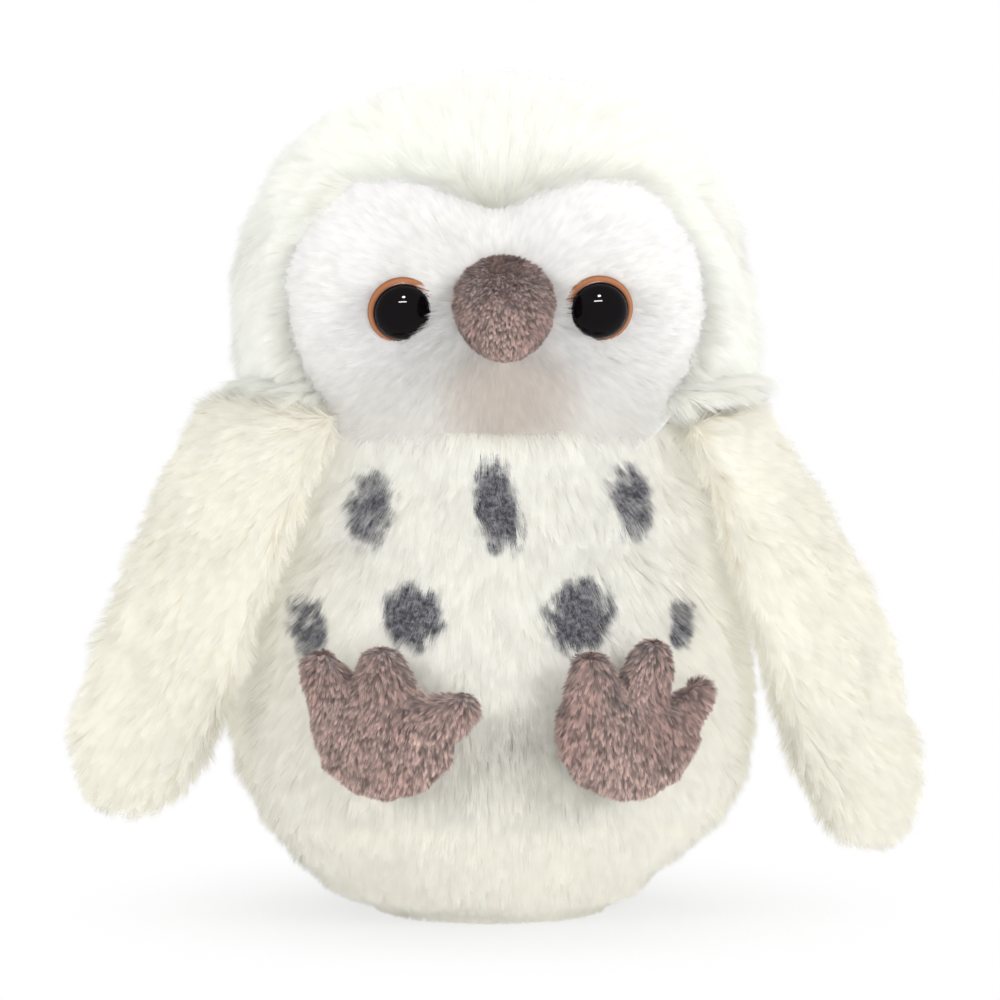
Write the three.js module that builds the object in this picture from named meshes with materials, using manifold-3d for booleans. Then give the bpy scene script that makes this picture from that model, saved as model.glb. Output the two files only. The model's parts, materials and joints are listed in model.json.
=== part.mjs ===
// A plush owl that sits on a flat seat, in millimetres. +Z is up, the owl faces -Y, and the origin is the
// middle of its seat. It is built as such a toy is sewn: panels of plush cloth round stuffing, a short-pile
// face sunk in a hood, a stuffed beak, two safety eyes held by lock washers, two wings and two feet.
import * as THREE from 'three';
import { mergeVertices } from 'three/addons/utils/BufferGeometryUtils.js';
import Module from 'manifold-3d';

const wasm = await Module();
wasm.setup();

// Cloth and seams. A skin is the cloth with its pile pressed flat, measured inwards from the fur's outline.
const seam_gap = 0.3;
const long_pile_skin = 5;
const short_pile_skin = 2.5;
const limb_skin = 3;
const foot_skin = 2.2;
const beak_skin = 2;
const cutter_overrun = 40;

// Torso: a ball below its widest level, cut flat for the seat, and a taper above it up to the neck.
const torso_half_width = 58;
const torso_front_depth = 48.5;
const torso_back_depth = 45;
const torso_wide_level = 42;
const seat_radius = 21;
const neck_half_width = 41;
const neck_front_depth = 37;
const neck_back_depth = 35;
const neck_taper_power = 1.8;
const seat_seam_level = 25;
const side_seam_place = -10;
const torso_rings_below = 6;
const torso_rings_above = 5;
const torso_sides = 26;
const torso_inner_rings_below = 4;
const torso_inner_rings_above = 3;
const torso_inner_sides = 16;

// Neck: the head's underside and the torso's dished top are parts of one large ball, so the head twists.
const neck_ball_radius = 110;
const neck_ball_lowest = 102;
const neck_ball_reach = 66;
const neck_hole_radius = 27;
const neck_ball_steps = 5;
const neck_ball_sides = 24;
const torso_top_rise = 18;
const torso_top_level = neck_ball_lowest + torso_top_rise;

// Head: a rounded block, fullest at the cheeks.
const head_half_width = 57.3;
const head_front_depth = 44;
const head_back_depth = 43;
const head_wide_rise = 22;
const head_wide_level = neck_ball_lowest + head_wide_rise;
const head_crown_rise = 58;
const head_cheek_drop = 34;
const head_roundness = 2.3;
const head_back_seam_place = 12;
const head_rings_above = 7;
const head_rings_below = 3;
const head_sides = 26;

// Face: the two-lobed short-pile disc.
const face_half_width = 45.5;
const face_half_height = 28.5;
const face_rise = 36;
const face_level = neck_ball_lowest + face_rise;
const face_points = 26;
const face_outline_shares = [
  [0, 0.76], [0.18, 0.86], [0.42, 0.98], [0.66, 0.92], [0.87, 0.62], [0.98, 0.2],
  [0.98, -0.25], [0.86, -0.7], [0.68, -1.08], [0.4, -1.3], [0, -1.36],
];

// Safety eyes: a domed pupil in an amber iris, whose ribbed shank goes through the face into a lock washer.
const iris_radius = 7.4;
const iris_edge = 1;
const iris_rise = 1;
const iris_sink = 1;
const pupil_radius = 5.5;
const pupil_rise = 3.4;
const pupil_recess = 0.6;
const shank_radius = 2.1;
const shank_length = 10;
const shank_rib_radius = 2.5;
const shank_ribs = 3;
const washer_radius = 6.5;
const washer_bore_clearance = 0.3;
const washer_thickness = 1.2;
const washer_dish = 0.5;
const washer_stand_off = 1;
const eye_place = 21.8;
const eye_drop = 2;
const eye_level = face_level - eye_drop;
const eye_sides = 18;
const dome_steps = 4;

// Beak: a stuffed hook that leaves the face forwards and bends down.
const beak_half_width = 10.2;
const beak_half_height = 11;
const beak_reach = 13.5;
const beak_droop = 6;
const beak_drop = 0.5;
const beak_level = face_level - beak_drop;
const beak_root_depth = 8;
const beak_seam_share = 0.45;
const beak_sides = 16;
const beak_section_shares = [[0, 1], [0.4, 1], [0.65, 0.92], [0.84, 0.72], [0.95, 0.44]];

// Wings: flat stuffed flaps, sewn on along the neck and hinged there. Each row of the section table is a
// level down the wing, the half width and the half thickness there.
const wing_length = 91;
const wing_half_width = 20.5;
const wing_half_thickness = 7;
const wing_root_radius = 6;
const wing_root_half_width = 17.5;
const wing_roundness = 3;
const wing_sides = 12;
const wing_inner_sides = 8;
const wing_section_shares = [
  [0.14, 0.88, 0.92], [0.34, 0.97, 1], [0.56, 1, 1], [0.76, 0.93, 0.9], [0.9, 0.68, 0.72], [0.97, 0.4, 0.54],
];
const wing_root_steps = 2;
const wing_cloth_strips = 4;
const wing_flare = 25;
const wing_slide = 10;
const wings = [
  {
    name: 'left', side: -1, turn: 40, untwist: 22, hang: 14,
    flare_share: 1, slide_share: 1.4, length_share: 0.95,
  },
  {
    name: 'right', side: 1, turn: 54, untwist: 12, hang: 12,
    flare_share: 1.05, slide_share: 1.1, length_share: 1.02,
  },
];

// Feet: a broad palm and three toes, soles to the front, hinged at the heel's seam on the belly. A toe's
// root stands on the palm; its shares say how far out the root is, how far it reaches and how thick it is.
const palm_half_width = 17;
const palm_half_thickness = 6.8;
const palm_heel_reach = 16;
const palm_top_reach = 7;
const palm_band = 2;
const toe_root_radius = 9.2;
const toe_half_thickness = 5.6;
const toe_tip_radius = 5.4;
const toe_root_height = 14;
const toe_root_spread = 8;
const heel_level = 30.5;
const heel_press = 1.2;
const palm_sides = 12;
const palm_cap_steps = 3;
const toe_sides = 7;
const toe_cap_steps = 2;
const toe_reach = 37;
const foot_place = 23.6;
const feet = [
  {
    name: 'left', side: -1, splay: 3,
    toes: [
      { root_share: 0.9, reach_share: 1, lean: 25, girth_share: 0.95 },
      { root_share: 0, reach_share: 0.94, lean: 0, girth_share: 1.18 },
      { root_share: -0.7, reach_share: 0.84, lean: -40, girth_share: 0.92 },
    ],
  },
  {
    name: 'right', side: 1, splay: 14,
    toes: [
      { root_share: -0.95, reach_share: 0.92, lean: -23, girth_share: 1 },
      { root_share: 0.1, reach_share: 1, lean: 3, girth_share: 0.97 },
      { root_share: 1, reach_share: 0.92, lean: 28, girth_share: 0.7 },
    ],
  },
];

// Pellet pouch: a flattened bag in the bottom of the torso.
const pouch_half_width = 30;
const pouch_half_depth = 24;
const pouch_height = 20;
const pouch_rings = 4;
const pouch_sides = 18;

const finishes = {
  cream_plush: new THREE.MeshStandardMaterial({ color: 0xf1f0e6, roughness: 0.95, metalness: 0 }),
  belly_plush: new THREE.MeshStandardMaterial({ color: 0xe2e1d8, roughness: 0.95, metalness: 0 }),
  face_plush: new THREE.MeshStandardMaterial({ color: 0xf6f6f3, roughness: 0.9, metalness: 0 }),
  mauve_plush: new THREE.MeshStandardMaterial({ color: 0x8d7874, roughness: 0.9, metalness: 0 }),
  stuffing: new THREE.MeshStandardMaterial({ color: 0xf7f7f5, roughness: 1, metalness: 0 }),
  pouch_cloth: new THREE.MeshStandardMaterial({ color: 0xd9d6cc, roughness: 0.9, metalness: 0 }),
  amber_plastic: new THREE.MeshStandardMaterial({ color: 0xb9793c, roughness: 0.25, metalness: 0 }),
  black_plastic: new THREE.MeshStandardMaterial({ color: 0x0a0507, roughness: 0.08, metalness: 0 }),
  washer_plastic: new THREE.MeshStandardMaterial({ color: 0xe6e6e2, roughness: 0.6, metalness: 0 }),
};

const owl = new THREE.Group();

// Adds a solid to the owl as a named mesh.
function addPiece(name, solid, finish) {
  const mesh = new THREE.Mesh(geometryOf(solid), finishes[finish]);
  mesh.name = name;
  owl.add(mesh);
}

// A closed geometry as a solid for joining and cutting.
function solidOf(geometry) {
  const bare = geometry.index ? geometry.toNonIndexed() : geometry.clone();
  bare.deleteAttribute('normal');
  bare.deleteAttribute('uv');
  const merged = mergeVertices(bare);
  return new wasm.Manifold(new wasm.Mesh({
    numProp: 3,
    vertProperties: merged.attributes.position.array,
    triVerts: new Uint32Array(merged.index.array),
  }));
}

function geometryOf(solid) {
  const { vertProperties, triVerts, numProp } = solid.getMesh();
  const geometry = new THREE.BufferGeometry();
  const places = new Float32Array((vertProperties.length / numProp) * 3);
  for (let i = 0; i < places.length / 3; i++) {
    places.set(vertProperties.subarray(i * numProp, i * numProp + 3), i * 3);
  }
  geometry.setAttribute('position', new THREE.BufferAttribute(places, 3));
  geometry.setIndex(new THREE.BufferAttribute(new Uint32Array(triVerts), 1));
  geometry.computeVertexNormals();
  return geometry;
}

// A closed skin over rings of points, which run anticlockwise seen from the last ring, with a fan to a
// point at each end.
function loft(rings, firstPoint, lastPoint) {
  const sides = rings[0].length;
  const points = [...rings.flat(), firstPoint, lastPoint];
  const firstIndex = points.length - 2;
  const lastIndex = points.length - 1;
  const faces = [];
  for (let side = 0; side < sides; side++) {
    const next = (side + 1) % sides;
    faces.push(firstIndex, next, side);
    for (let ring = 0; ring < rings.length - 1; ring++) {
      const low = ring * sides;
      const high = low + sides;
      faces.push(low + side, low + next, high + next);
      faces.push(low + side, high + next, high + side);
    }
    const top = (rings.length - 1) * sides;
    faces.push(lastIndex, top + side, top + next);
  }
  const geometry = new THREE.BufferGeometry().setFromPoints(points);
  geometry.setIndex(faces);
  return geometry;
}

// One level ring: half widths to the sides, the front and the back, and how square it is.
function levelRing(level, side, front, back, roundness, sides) {
  const ring = [];
  for (let i = 0; i < sides; i++) {
    const angle = (2 * Math.PI * i) / sides;
    const across = Math.cos(angle);
    const along = Math.sin(angle);
    const depth = along < 0 ? front : back;
    const x = side * Math.sign(across) * Math.abs(across) ** (2 / roundness);
    const y = depth * Math.sign(along) * Math.abs(along) ** (2 / roundness);
    ring.push(new THREE.Vector3(x, y, level));
  }
  return ring;
}

// A geometry moved by a matrix, and turned the right way out again if the matrix mirrors it.
function placed(geometry, matrix) {
  const moved = geometry.clone().applyMatrix4(matrix);
  if (matrix.determinant() < 0) {
    const index = moved.index.array;
    for (let i = 0; i < index.length; i += 3) {
      [index[i + 1], index[i + 2]] = [index[i + 2], index[i + 1]];
    }
  }
  return moved;
}

// A box given by its lowest and highest corners.
function boxBetween(low, high) {
  const size = high.clone().sub(low);
  const box = new THREE.BoxGeometry(size.x, size.y, size.z);
  box.translate((low.x + high.x) / 2, (low.y + high.y) / 2, (low.z + high.z) / 2);
  return solidOf(box);
}

// A box larger than the owl, with its walls moved in to the limits given.
function roomWithin(limits) {
  const reach = torso_half_width + wing_length + cutter_overrun;
  const top = head_wide_level + head_crown_rise + cutter_overrun;
  const { left = -reach, right = reach, front = -reach, back = reach, bottom = -cutter_overrun } = limits;
  const upper = limits.top ?? top;
  return boxBetween(new THREE.Vector3(left, front, bottom), new THREE.Vector3(right, back, upper));
}

// A solid turned about Z from a profile of [radius, level] points.
function turned(profile, sides) {
  const points = profile.map(([radius, level]) => new THREE.Vector2(radius, level));
  return new THREE.LatheGeometry(points, sides).rotateX(Math.PI / 2);
}

// Torso form

const torso_ball_share = Math.sqrt(1 - (seat_radius / torso_half_width) ** 2);

// How far the torso's outline has swollen at a level: its half widths to the side, front and back.
function torsoAt(level) {
  if (level <= torso_wide_level) {
    const drop = (torso_ball_share * (torso_wide_level - level)) / torso_wide_level;
    const swell = Math.sqrt(1 - drop ** 2);
    return { side: torso_half_width * swell, front: torso_front_depth * swell, back: torso_back_depth * swell };
  }
  const rise = (level - torso_wide_level) / (torso_top_level - torso_wide_level);
  const taper = rise ** neck_taper_power;
  return {
    side: torso_half_width + (neck_half_width - torso_half_width) * taper,
    front: torso_front_depth + (neck_front_depth - torso_front_depth) * taper,
    back: torso_back_depth + (neck_back_depth - torso_back_depth) * taper,
  };
}

// The torso's form, grown outwards by a distance, or shrunk where that is negative.
function torsoForm(grow) {
  const below = grow < 0 ? torso_inner_rings_below : torso_rings_below;
  const above = grow < 0 ? torso_inner_rings_above : torso_rings_above;
  const sides = grow < 0 ? torso_inner_sides : torso_sides;
  const rings = [];
  const addRing = (level, placedLevel) => {
    const { side, front, back } = torsoAt(level);
    rings.push(levelRing(placedLevel, side + grow, front + grow, back + grow, 2, sides));
  };
  for (let step = 0; step < below; step++) {
    const level = torso_wide_level * (1 - Math.cos((Math.PI / 2) * (step / below)));
    addRing(level, level - grow * (1 - step / below));
  }
  for (let step = 0; step <= above; step++) {
    const level = torso_wide_level + (torso_top_level - torso_wide_level) * (step / above);
    addRing(level, level);
  }
  const foot = new THREE.Vector3(0, 0, -grow);
  const top = new THREE.Vector3(0, 0, torso_top_level);
  return solidOf(loft(rings, foot, top));
}

// The ball that the head sits on the torso with, as a plug that holds everything above it.
const neck_ball_centre = neck_ball_lowest + neck_ball_radius;

function neckPlug(grow) {
  const radius = neck_ball_radius + grow;
  const last = Math.asin(neck_ball_reach / radius);
  const profile = [];
  for (let step = 0; step <= neck_ball_steps; step++) {
    const angle = (last * step) / neck_ball_steps;
    profile.push([radius * Math.sin(angle), neck_ball_centre - radius * Math.cos(angle)]);
  }
  const top = head_wide_level + head_crown_rise + cutter_overrun;
  profile.push([neck_ball_reach, top], [0, top]);
  profile[0][0] = 0;
  return solidOf(turned(profile, neck_ball_sides));
}

function neckHole(grow) {
  const bottom = torso_wide_level;
  const radius = neck_hole_radius + grow;
  const plug = [[0, bottom], [radius, bottom], [radius, head_wide_level], [0, head_wide_level]];
  return solidOf(turned(plug, neck_ball_sides));
}

// Head form

// How far the head has swollen at a level, as a share of its full width.
function headSwell(level) {
  const reach = level > head_wide_level ? head_crown_rise : head_cheek_drop;
  const share = Math.abs(level - head_wide_level) / reach;
  return (1 - share ** head_roundness) ** (1 / head_roundness);
}

function headForm(grow) {
  const rings = [];
  const crown = head_crown_rise + grow;
  const cheek = head_cheek_drop + grow;
  const addRing = (share) => {
    const swell = (1 - Math.abs(share) ** head_roundness) ** (1 / head_roundness);
    const level = head_wide_level + share * (share > 0 ? crown : cheek);
    const side = (head_half_width + grow) * swell;
    const front = (head_front_depth + grow) * swell;
    const back = (head_back_depth + grow) * swell;
    rings.push(levelRing(level, side, front, back, head_roundness, head_sides));
  };
  for (let step = head_rings_below - 1; step > 0; step--) {
    addRing(-Math.sin((Math.PI / 2) * (step / head_rings_below)));
  }
  for (let step = 0; step < head_rings_above; step++) {
    addRing(Math.sin((Math.PI / 2) * (step / head_rings_above)));
  }
  const chin = new THREE.Vector3(0, 0, head_wide_level - cheek);
  const top = new THREE.Vector3(0, 0, head_wide_level + crown);
  return solidOf(loft(rings, chin, top));
}

// The face's outline pushed through the front of the head, grown by a distance.
function facePrism(grow) {
  const half = face_outline_shares.map(([across, up]) => new THREE.Vector2(
    across * (face_half_width + grow),
    up * (face_half_height + grow),
  ));
  const otherHalf = half.slice(1, -1).reverse().map((point) => new THREE.Vector2(-point.x, point.y));
  const outline = new THREE.SplineCurve([...half, ...otherHalf, half[0]]);
  const shape = new THREE.Shape(outline.getSpacedPoints(face_points).slice(0, -1));
  const depth = head_front_depth + cutter_overrun;
  const prism = new THREE.ExtrudeGeometry(shape, { depth, bevelEnabled: false });
  prism.rotateX(Math.PI / 2).translate(0, 0, face_level);
  return solidOf(prism);
}

// A point on the face and the way it faces, from the head's own formula sunk by the pile's difference.
function facePoint(x, level) {
  const sunk = long_pile_skin - short_pile_skin;
  const swell = headSwell(level);
  const side = (head_half_width - sunk) * swell;
  const front = (head_front_depth - sunk) * swell;
  const across = Math.abs(x) / side;
  const forward = (1 - across ** head_roundness) ** (1 / head_roundness);
  const rise = (level - head_wide_level) / (head_crown_rise - sunk);
  const power = head_roundness - 1;
  const facing = new THREE.Vector3(
    (Math.sign(x) * across ** power) / side,
    -(forward ** power) / front,
    Math.sign(rise) * Math.abs(rise) ** power / head_crown_rise,
  ).normalize();
  return { place: new THREE.Vector3(x, -front * forward, level), facing };
}

// Moves a solid turned about Z so that its +Z looks out of the face at a point.
function seatedOnFace(geometry, x, level) {
  const { place, facing } = facePoint(x, level);
  const turn = new THREE.Quaternion().setFromUnitVectors(new THREE.Vector3(0, 0, 1), facing);
  const matrix = new THREE.Matrix4().compose(place, turn, new THREE.Vector3(1, 1, 1));
  return solidOf(placed(geometry, matrix));
}

// Eyes

// A dome's profile from its rim in to the axis.
function domeProfile(radius, rise, base) {
  const profile = [];
  for (let step = 0; step <= dome_steps; step++) {
    const angle = (Math.PI / 2) * (step / dome_steps);
    profile.push([radius * Math.cos(angle), base + rise * Math.sin(angle)]);
  }
  profile[dome_steps][0] = 0;
  return profile;
}

// The iris: a shallow dome with a seat for the pupil, and a ribbed shank behind it.
function irisGeometry() {
  const back = -iris_sink;
  const rim = back + iris_edge;
  const seat = rim + iris_rise - pupil_recess;
  const seatRadius = pupil_radius + seam_gap;
  const profile = [[0, back - shank_length]];
  const pitch = (shank_length - short_pile_skin - washer_stand_off) / (shank_ribs + 1);
  for (let rib = 0; rib < shank_ribs; rib++) {
    const level = back - shank_length + pitch * rib;
    profile.push([shank_radius, level + pitch / 4], [shank_rib_radius, level + pitch / 2]);
    profile.push([shank_radius, level + pitch]);
  }
  profile.push([shank_radius, back], [iris_radius, back], [iris_radius, rim]);
  const shoulder = (iris_radius + seatRadius) / 2;
  profile.push([shoulder, rim + iris_rise * 3 / 4], [seatRadius, rim + iris_rise]);
  profile.push([seatRadius, seat], [0, seat]);
  return turned(profile, eye_sides);
}

function pupilGeometry() {
  const base = -iris_sink + iris_edge + iris_rise - pupil_recess + seam_gap;
  return turned([[0, base], ...domeProfile(pupil_radius, pupil_rise, base + pupil_recess)], eye_sides);
}

function washerGeometry() {
  const bore = shank_rib_radius + washer_bore_clearance;
  const front = -short_pile_skin - washer_stand_off;
  const back = front - washer_thickness;
  const profile = [
    [bore, back - washer_dish], [washer_radius, back], [washer_radius, front],
    [bore, front - washer_dish], [bore, back - washer_dish],
  ];
  return turned(profile, eye_sides);
}

// The room that an eye's head, shank and washer need in the cloth and in the stuffing.
function eyeSocket() {
  const radius = iris_radius + seam_gap;
  const back = -iris_sink - seam_gap;
  const bore = shank_rib_radius + seam_gap;
  const front = iris_edge + iris_rise + pupil_rise;
  const socket = [
    [0, -cutter_overrun], [bore, -cutter_overrun], [bore, back], [radius, back], [radius, front], [0, front],
  ];
  return turned(socket, eye_sides);
}

function washerRoom() {
  const radius = washer_radius + seam_gap;
  const end = -iris_sink - shank_length - seam_gap;
  return turned([[0, end], [radius, end], [radius, 0], [0, 0]], eye_sides);
}

// Beak

// The beak's form, grown by a distance: upright rings that shrink and sink towards the tip.
function beakForm(grow) {
  const root = -head_front_depth + beak_root_depth;
  const length = beak_root_depth + beak_reach;
  const ringAt = ([along, width]) => {
    const level = beak_level - beak_droop * along ** 2;
    const ring = [];
    for (let i = 0; i < beak_sides; i++) {
      const angle = (2 * Math.PI * i) / beak_sides;
      const across = Math.cos(angle) * (beak_half_width * width + grow);
      const rise = Math.sin(angle) * (beak_half_height * width + grow);
      ring.push(new THREE.Vector3(across, root - along * (length + grow), level + rise));
    }
    return ring;
  };
  const end = new THREE.Vector3(0, root - length - grow, beak_level - beak_droop);
  const start = new THREE.Vector3(0, root, beak_level);
  return solidOf(loft(beak_section_shares.map(ringAt), start, end));
}

// Wings

// The wing's form, straight and flat, in its own frame: x outwards along the seam, y to the back, and the
// hinge's axis along x at the origin.
function wingForm(grow) {
  const rings = [];
  const addRing = (drop, halfWidth, halfThickness) => {
    const thickness = halfThickness + grow;
    const sides = grow < 0 ? wing_inner_sides : wing_sides;
    rings.unshift(levelRing(-drop, halfWidth + grow, thickness, thickness, wing_roundness, sides));
  };
  for (let step = 1; step <= wing_root_steps; step++) {
    const angle = (Math.PI / 2) * (step / wing_root_steps);
    const bulge = (wing_root_radius + grow) * Math.sin(angle) - grow;
    const draw = wing_root_radius * (1 - Math.sin(angle));
    addRing(-(wing_root_radius + grow) * Math.cos(angle), wing_root_half_width - draw, bulge);
  }
  for (const [along, width, thickness] of wing_section_shares) {
    addRing(along * (wing_length + grow), width * wing_half_width, thickness * wing_half_thickness);
  }
  const tip = new THREE.Vector3(0, 0, -wing_length - grow);
  const root = new THREE.Vector3(0, 0, wing_root_radius + grow);
  return loft(rings, tip, root);
}

// Hangs a straight piece of a wing on the owl: down its length it turns to the front and leans outwards.
function hung(geometry, wing) {
  const bent = geometry.clone();
  const points = bent.attributes.position;
  const point = new THREE.Vector3();
  const up = new THREE.Vector3(0, 0, 1);
  for (let i = 0; i < points.count; i++) {
    point.fromBufferAttribute(points, i);
    const drop = Math.max(-point.z / wing_length, 0);
    if (drop > 0) point.z *= wing.length_share;
    point.applyAxisAngle(up, -THREE.MathUtils.degToRad(wing.untwist) * drop);
    point.x += wing_flare * wing.flare_share * (1 - (1 - drop) ** 2);
    points.setXYZ(i, point.x, point.y, point.z);
  }
  return placed(bent, wingMatrix(wing));
}

// Everything in front of or behind a wing's middle surface, for one of its panels.
function wingHalf(wing, low, high) {
  const margin = 2 * wing_root_radius;
  const width = 2 * (wing_half_width + margin);
  const height = wing_length + 2 * margin;
  const box = new THREE.BoxGeometry(width, high - low, height, wing_cloth_strips, 1, 2 * wing_cloth_strips);
  box.deleteAttribute('normal');
  box.deleteAttribute('uv');
  box.translate(0, (low + high) / 2, margin - height / 2);
  return solidOf(hung(mergeVertices(box), wing));
}

// Where the middle of a wing's hinge lies. The hinge's line runs as close to the torso and to the neck ball
// as the wing's round root lets it, and the root slides out along that line.
function wingHinge({ side, turn, slide_share }) {
  const yaw = THREE.MathUtils.degToRad(turn);
  const outwards = new THREE.Vector3(Math.sin(yaw), -Math.cos(yaw), 0);
  const along = new THREE.Vector3(Math.cos(yaw), Math.sin(yaw), 0);
  const reach = wing_root_radius + seam_gap;
  const place = new THREE.Vector3();
  let level = neck_ball_lowest;
  for (let pass = 0; pass < 4; pass++) {
    const { side: across, front } = torsoAt(level);
    const span = Math.hypot(across * outwards.x, front * outwards.y);
    place.set((across ** 2 * outwards.x) / span, (front ** 2 * outwards.y) / span, 0);
    place.addScaledVector(outwards, reach);
    level = neck_ball_centre - Math.sqrt((neck_ball_radius + reach) ** 2 - (span + reach) ** 2);
  }
  place.addScaledVector(along, wing_slide * slide_share);
  return new THREE.Vector3(side * place.x, place.y, level);
}

function wingMatrix(wing) {
  const hang = new THREE.Matrix4().makeRotationX(-THREE.MathUtils.degToRad(wing.hang));
  const turn = new THREE.Matrix4().makeRotationZ(THREE.MathUtils.degToRad(wing.turn));
  const mirror = new THREE.Matrix4().makeScale(wing.side, 1, 1);
  const place = new THREE.Matrix4().setPosition(wingHinge(wing));
  return place.multiply(mirror).multiply(turn).multiply(hang);
}

// Feet

// A swollen sausage between two points in the plane of the foot, with a rounded cap of its own reach at
// each end.
function bean(sizes) {
  const { from, to, fromRadius, toRadius, fromReach, toReach, fromDepth, toDepth } = sizes;
  const { grow, sides, capSteps } = sizes;
  const direction = to.clone().sub(from);
  const length = direction.length();
  direction.normalize();
  const across = new THREE.Vector3(direction.z, 0, -direction.x);
  const rings = [];
  const addRing = (along, swell, nearTo) => {
    const radius = (nearTo ? toRadius : fromRadius) + grow;
    const depth = (nearTo ? toDepth : fromDepth) + grow;
    const centre = from.clone().addScaledVector(direction, along);
    const ring = [];
    for (let i = 0; i < sides; i++) {
      const angle = (2 * Math.PI * i) / sides;
      const point = centre.clone().addScaledVector(across, radius * swell * Math.cos(angle));
      ring.push(point.add(new THREE.Vector3(0, depth * swell * Math.sin(angle), 0)));
    }
    rings.push(ring);
  };
  for (let step = 1; step <= capSteps; step++) {
    const angle = (Math.PI / 2) * (step / capSteps);
    addRing(-(fromReach + grow) * Math.cos(angle), Math.sin(angle), false);
  }
  for (let step = capSteps; step > 0; step--) {
    const angle = (Math.PI / 2) * (step / capSteps);
    addRing(length + (toReach + grow) * Math.cos(angle), Math.sin(angle), true);
  }
  const start = from.clone().addScaledVector(direction, -fromReach - grow);
  const end = to.clone().addScaledVector(direction, toReach + grow);
  return loft(rings, start, end);
}

// The foot's form in its own frame: x outwards, y to the back, the heel's lowest point at the origin.
function footForm(grow, matrix, toes) {
  const palm = bean({
    from: new THREE.Vector3(0, 0, palm_heel_reach),
    to: new THREE.Vector3(0, 0, palm_heel_reach + palm_band),
    fromRadius: palm_half_width, toRadius: palm_half_width,
    fromReach: palm_heel_reach, toReach: palm_top_reach,
    fromDepth: palm_half_thickness, toDepth: palm_half_thickness, grow,
    sides: palm_sides, capSteps: palm_cap_steps,
  });
  let foot = solidOf(placed(palm, matrix));
  for (const { root_share, reach_share, lean, girth_share } of toes) {
    const angle = THREE.MathUtils.degToRad(lean);
    const pointing = new THREE.Vector3(Math.sin(angle), 0, Math.cos(angle));
    const root = toe_root_radius * girth_share;
    const tip = toe_tip_radius * girth_share;
    const toe = bean({
      from: new THREE.Vector3(toe_root_spread * root_share, 0, toe_root_height),
      to: pointing.multiplyScalar(toe_reach * reach_share - tip),
      fromRadius: root, toRadius: tip, fromReach: root, toReach: tip,
      fromDepth: toe_half_thickness, toDepth: toe_half_thickness * Math.min(girth_share, 1), grow,
      sides: toe_sides, capSteps: toe_cap_steps,
    });
    foot = foot.add(solidOf(placed(toe, matrix)));
  }
  return foot;
}

// Where the middle of a foot stands: its back pressed on the belly at the belly's widest level.
function footPlace({ side }) {
  const { side: across, front } = torsoAt(torso_wide_level);
  const belly = front * Math.sqrt(1 - (foot_place / across) ** 2);
  return new THREE.Vector3(side * foot_place, -belly - palm_half_thickness + heel_press, heel_level);
}

// A foot faces as the belly faces behind it.
function footTurn() {
  const { side: across, front } = torsoAt(torso_wide_level);
  const belly = front * Math.sqrt(1 - (foot_place / across) ** 2);
  return Math.atan2(foot_place / across ** 2, belly / front ** 2);
}

function footMatrix(foot) {
  const splay = new THREE.Matrix4().makeRotationY(THREE.MathUtils.degToRad(foot.splay));
  const turn = new THREE.Matrix4().makeRotationZ(footTurn());
  const mirror = new THREE.Matrix4().makeScale(foot.side, 1, 1);
  const place = new THREE.Matrix4().setPosition(footPlace(foot));
  return place.multiply(mirror).multiply(turn).multiply(splay);
}

// Torso pieces

function buildTorso() {
  const topOfSkin = neckPlug(seam_gap + long_pile_skin);
  const outer = torsoForm(0).subtract(neckPlug(seam_gap));
  const hollow = torsoForm(-long_pile_skin).subtract(topOfSkin);
  const shell = outer.subtract(hollow).subtract(neckHole(0));
  const half = seam_gap / 2;
  const aboveSeat = { bottom: seat_seam_level + half };
  addPiece('seat_panel', shell.intersect(roomWithin({ top: seat_seam_level - half })), 'cream_plush');
  const belly = roomWithin({ ...aboveSeat, back: side_seam_place - half });
  addPiece('belly_panel', shell.intersect(belly), 'belly_plush');
  const backLeft = roomWithin({ ...aboveSeat, front: side_seam_place + half, right: -half });
  addPiece('back_left_panel', shell.intersect(backLeft), 'cream_plush');
  const backRight = roomWithin({ ...aboveSeat, front: side_seam_place + half, left: half });
  addPiece('back_right_panel', shell.intersect(backRight), 'cream_plush');

  const roomInside = torsoForm(-long_pile_skin - seam_gap);
  const inside = roomInside.subtract(neckPlug(2 * seam_gap + long_pile_skin));
  const neckStuffing = roomInside.subtract(neckPlug(seam_gap)).intersect(neckHole(-seam_gap));
  const stuffing = inside.add(neckStuffing).subtract(pouchForm(seam_gap));
  addPiece('torso_stuffing', stuffing, 'stuffing');
  addPiece('pellet_pouch', pouchForm(0).intersect(roomInside), 'pouch_cloth');
}

// The pouch lies on the seat panel's inner face, which gives it its underside.
function pouchForm(grow) {
  const floor = long_pile_skin + seam_gap;
  const rings = [];
  for (let step = 0; step < pouch_rings; step++) {
    const share = step / pouch_rings;
    const swell = Math.cos((Math.PI / 2) * share);
    const level = floor + pouch_height * Math.sin((Math.PI / 2) * share) + grow * share;
    const side = pouch_half_width * swell + grow;
    const depth = pouch_half_depth * swell + grow;
    rings.push(levelRing(level, side, depth, depth, 2, pouch_sides));
  }
  const drop = grow > 0 ? cutter_overrun : 0;
  rings.unshift(rings[0].map((point) => new THREE.Vector3(point.x, point.y, floor - drop)));
  if (grow <= 0) rings.shift();
  const bottom = new THREE.Vector3(0, 0, floor - drop);
  const top = new THREE.Vector3(0, 0, floor + pouch_height + grow);
  return solidOf(loft(rings, bottom, top));
}

// Head pieces

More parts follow.
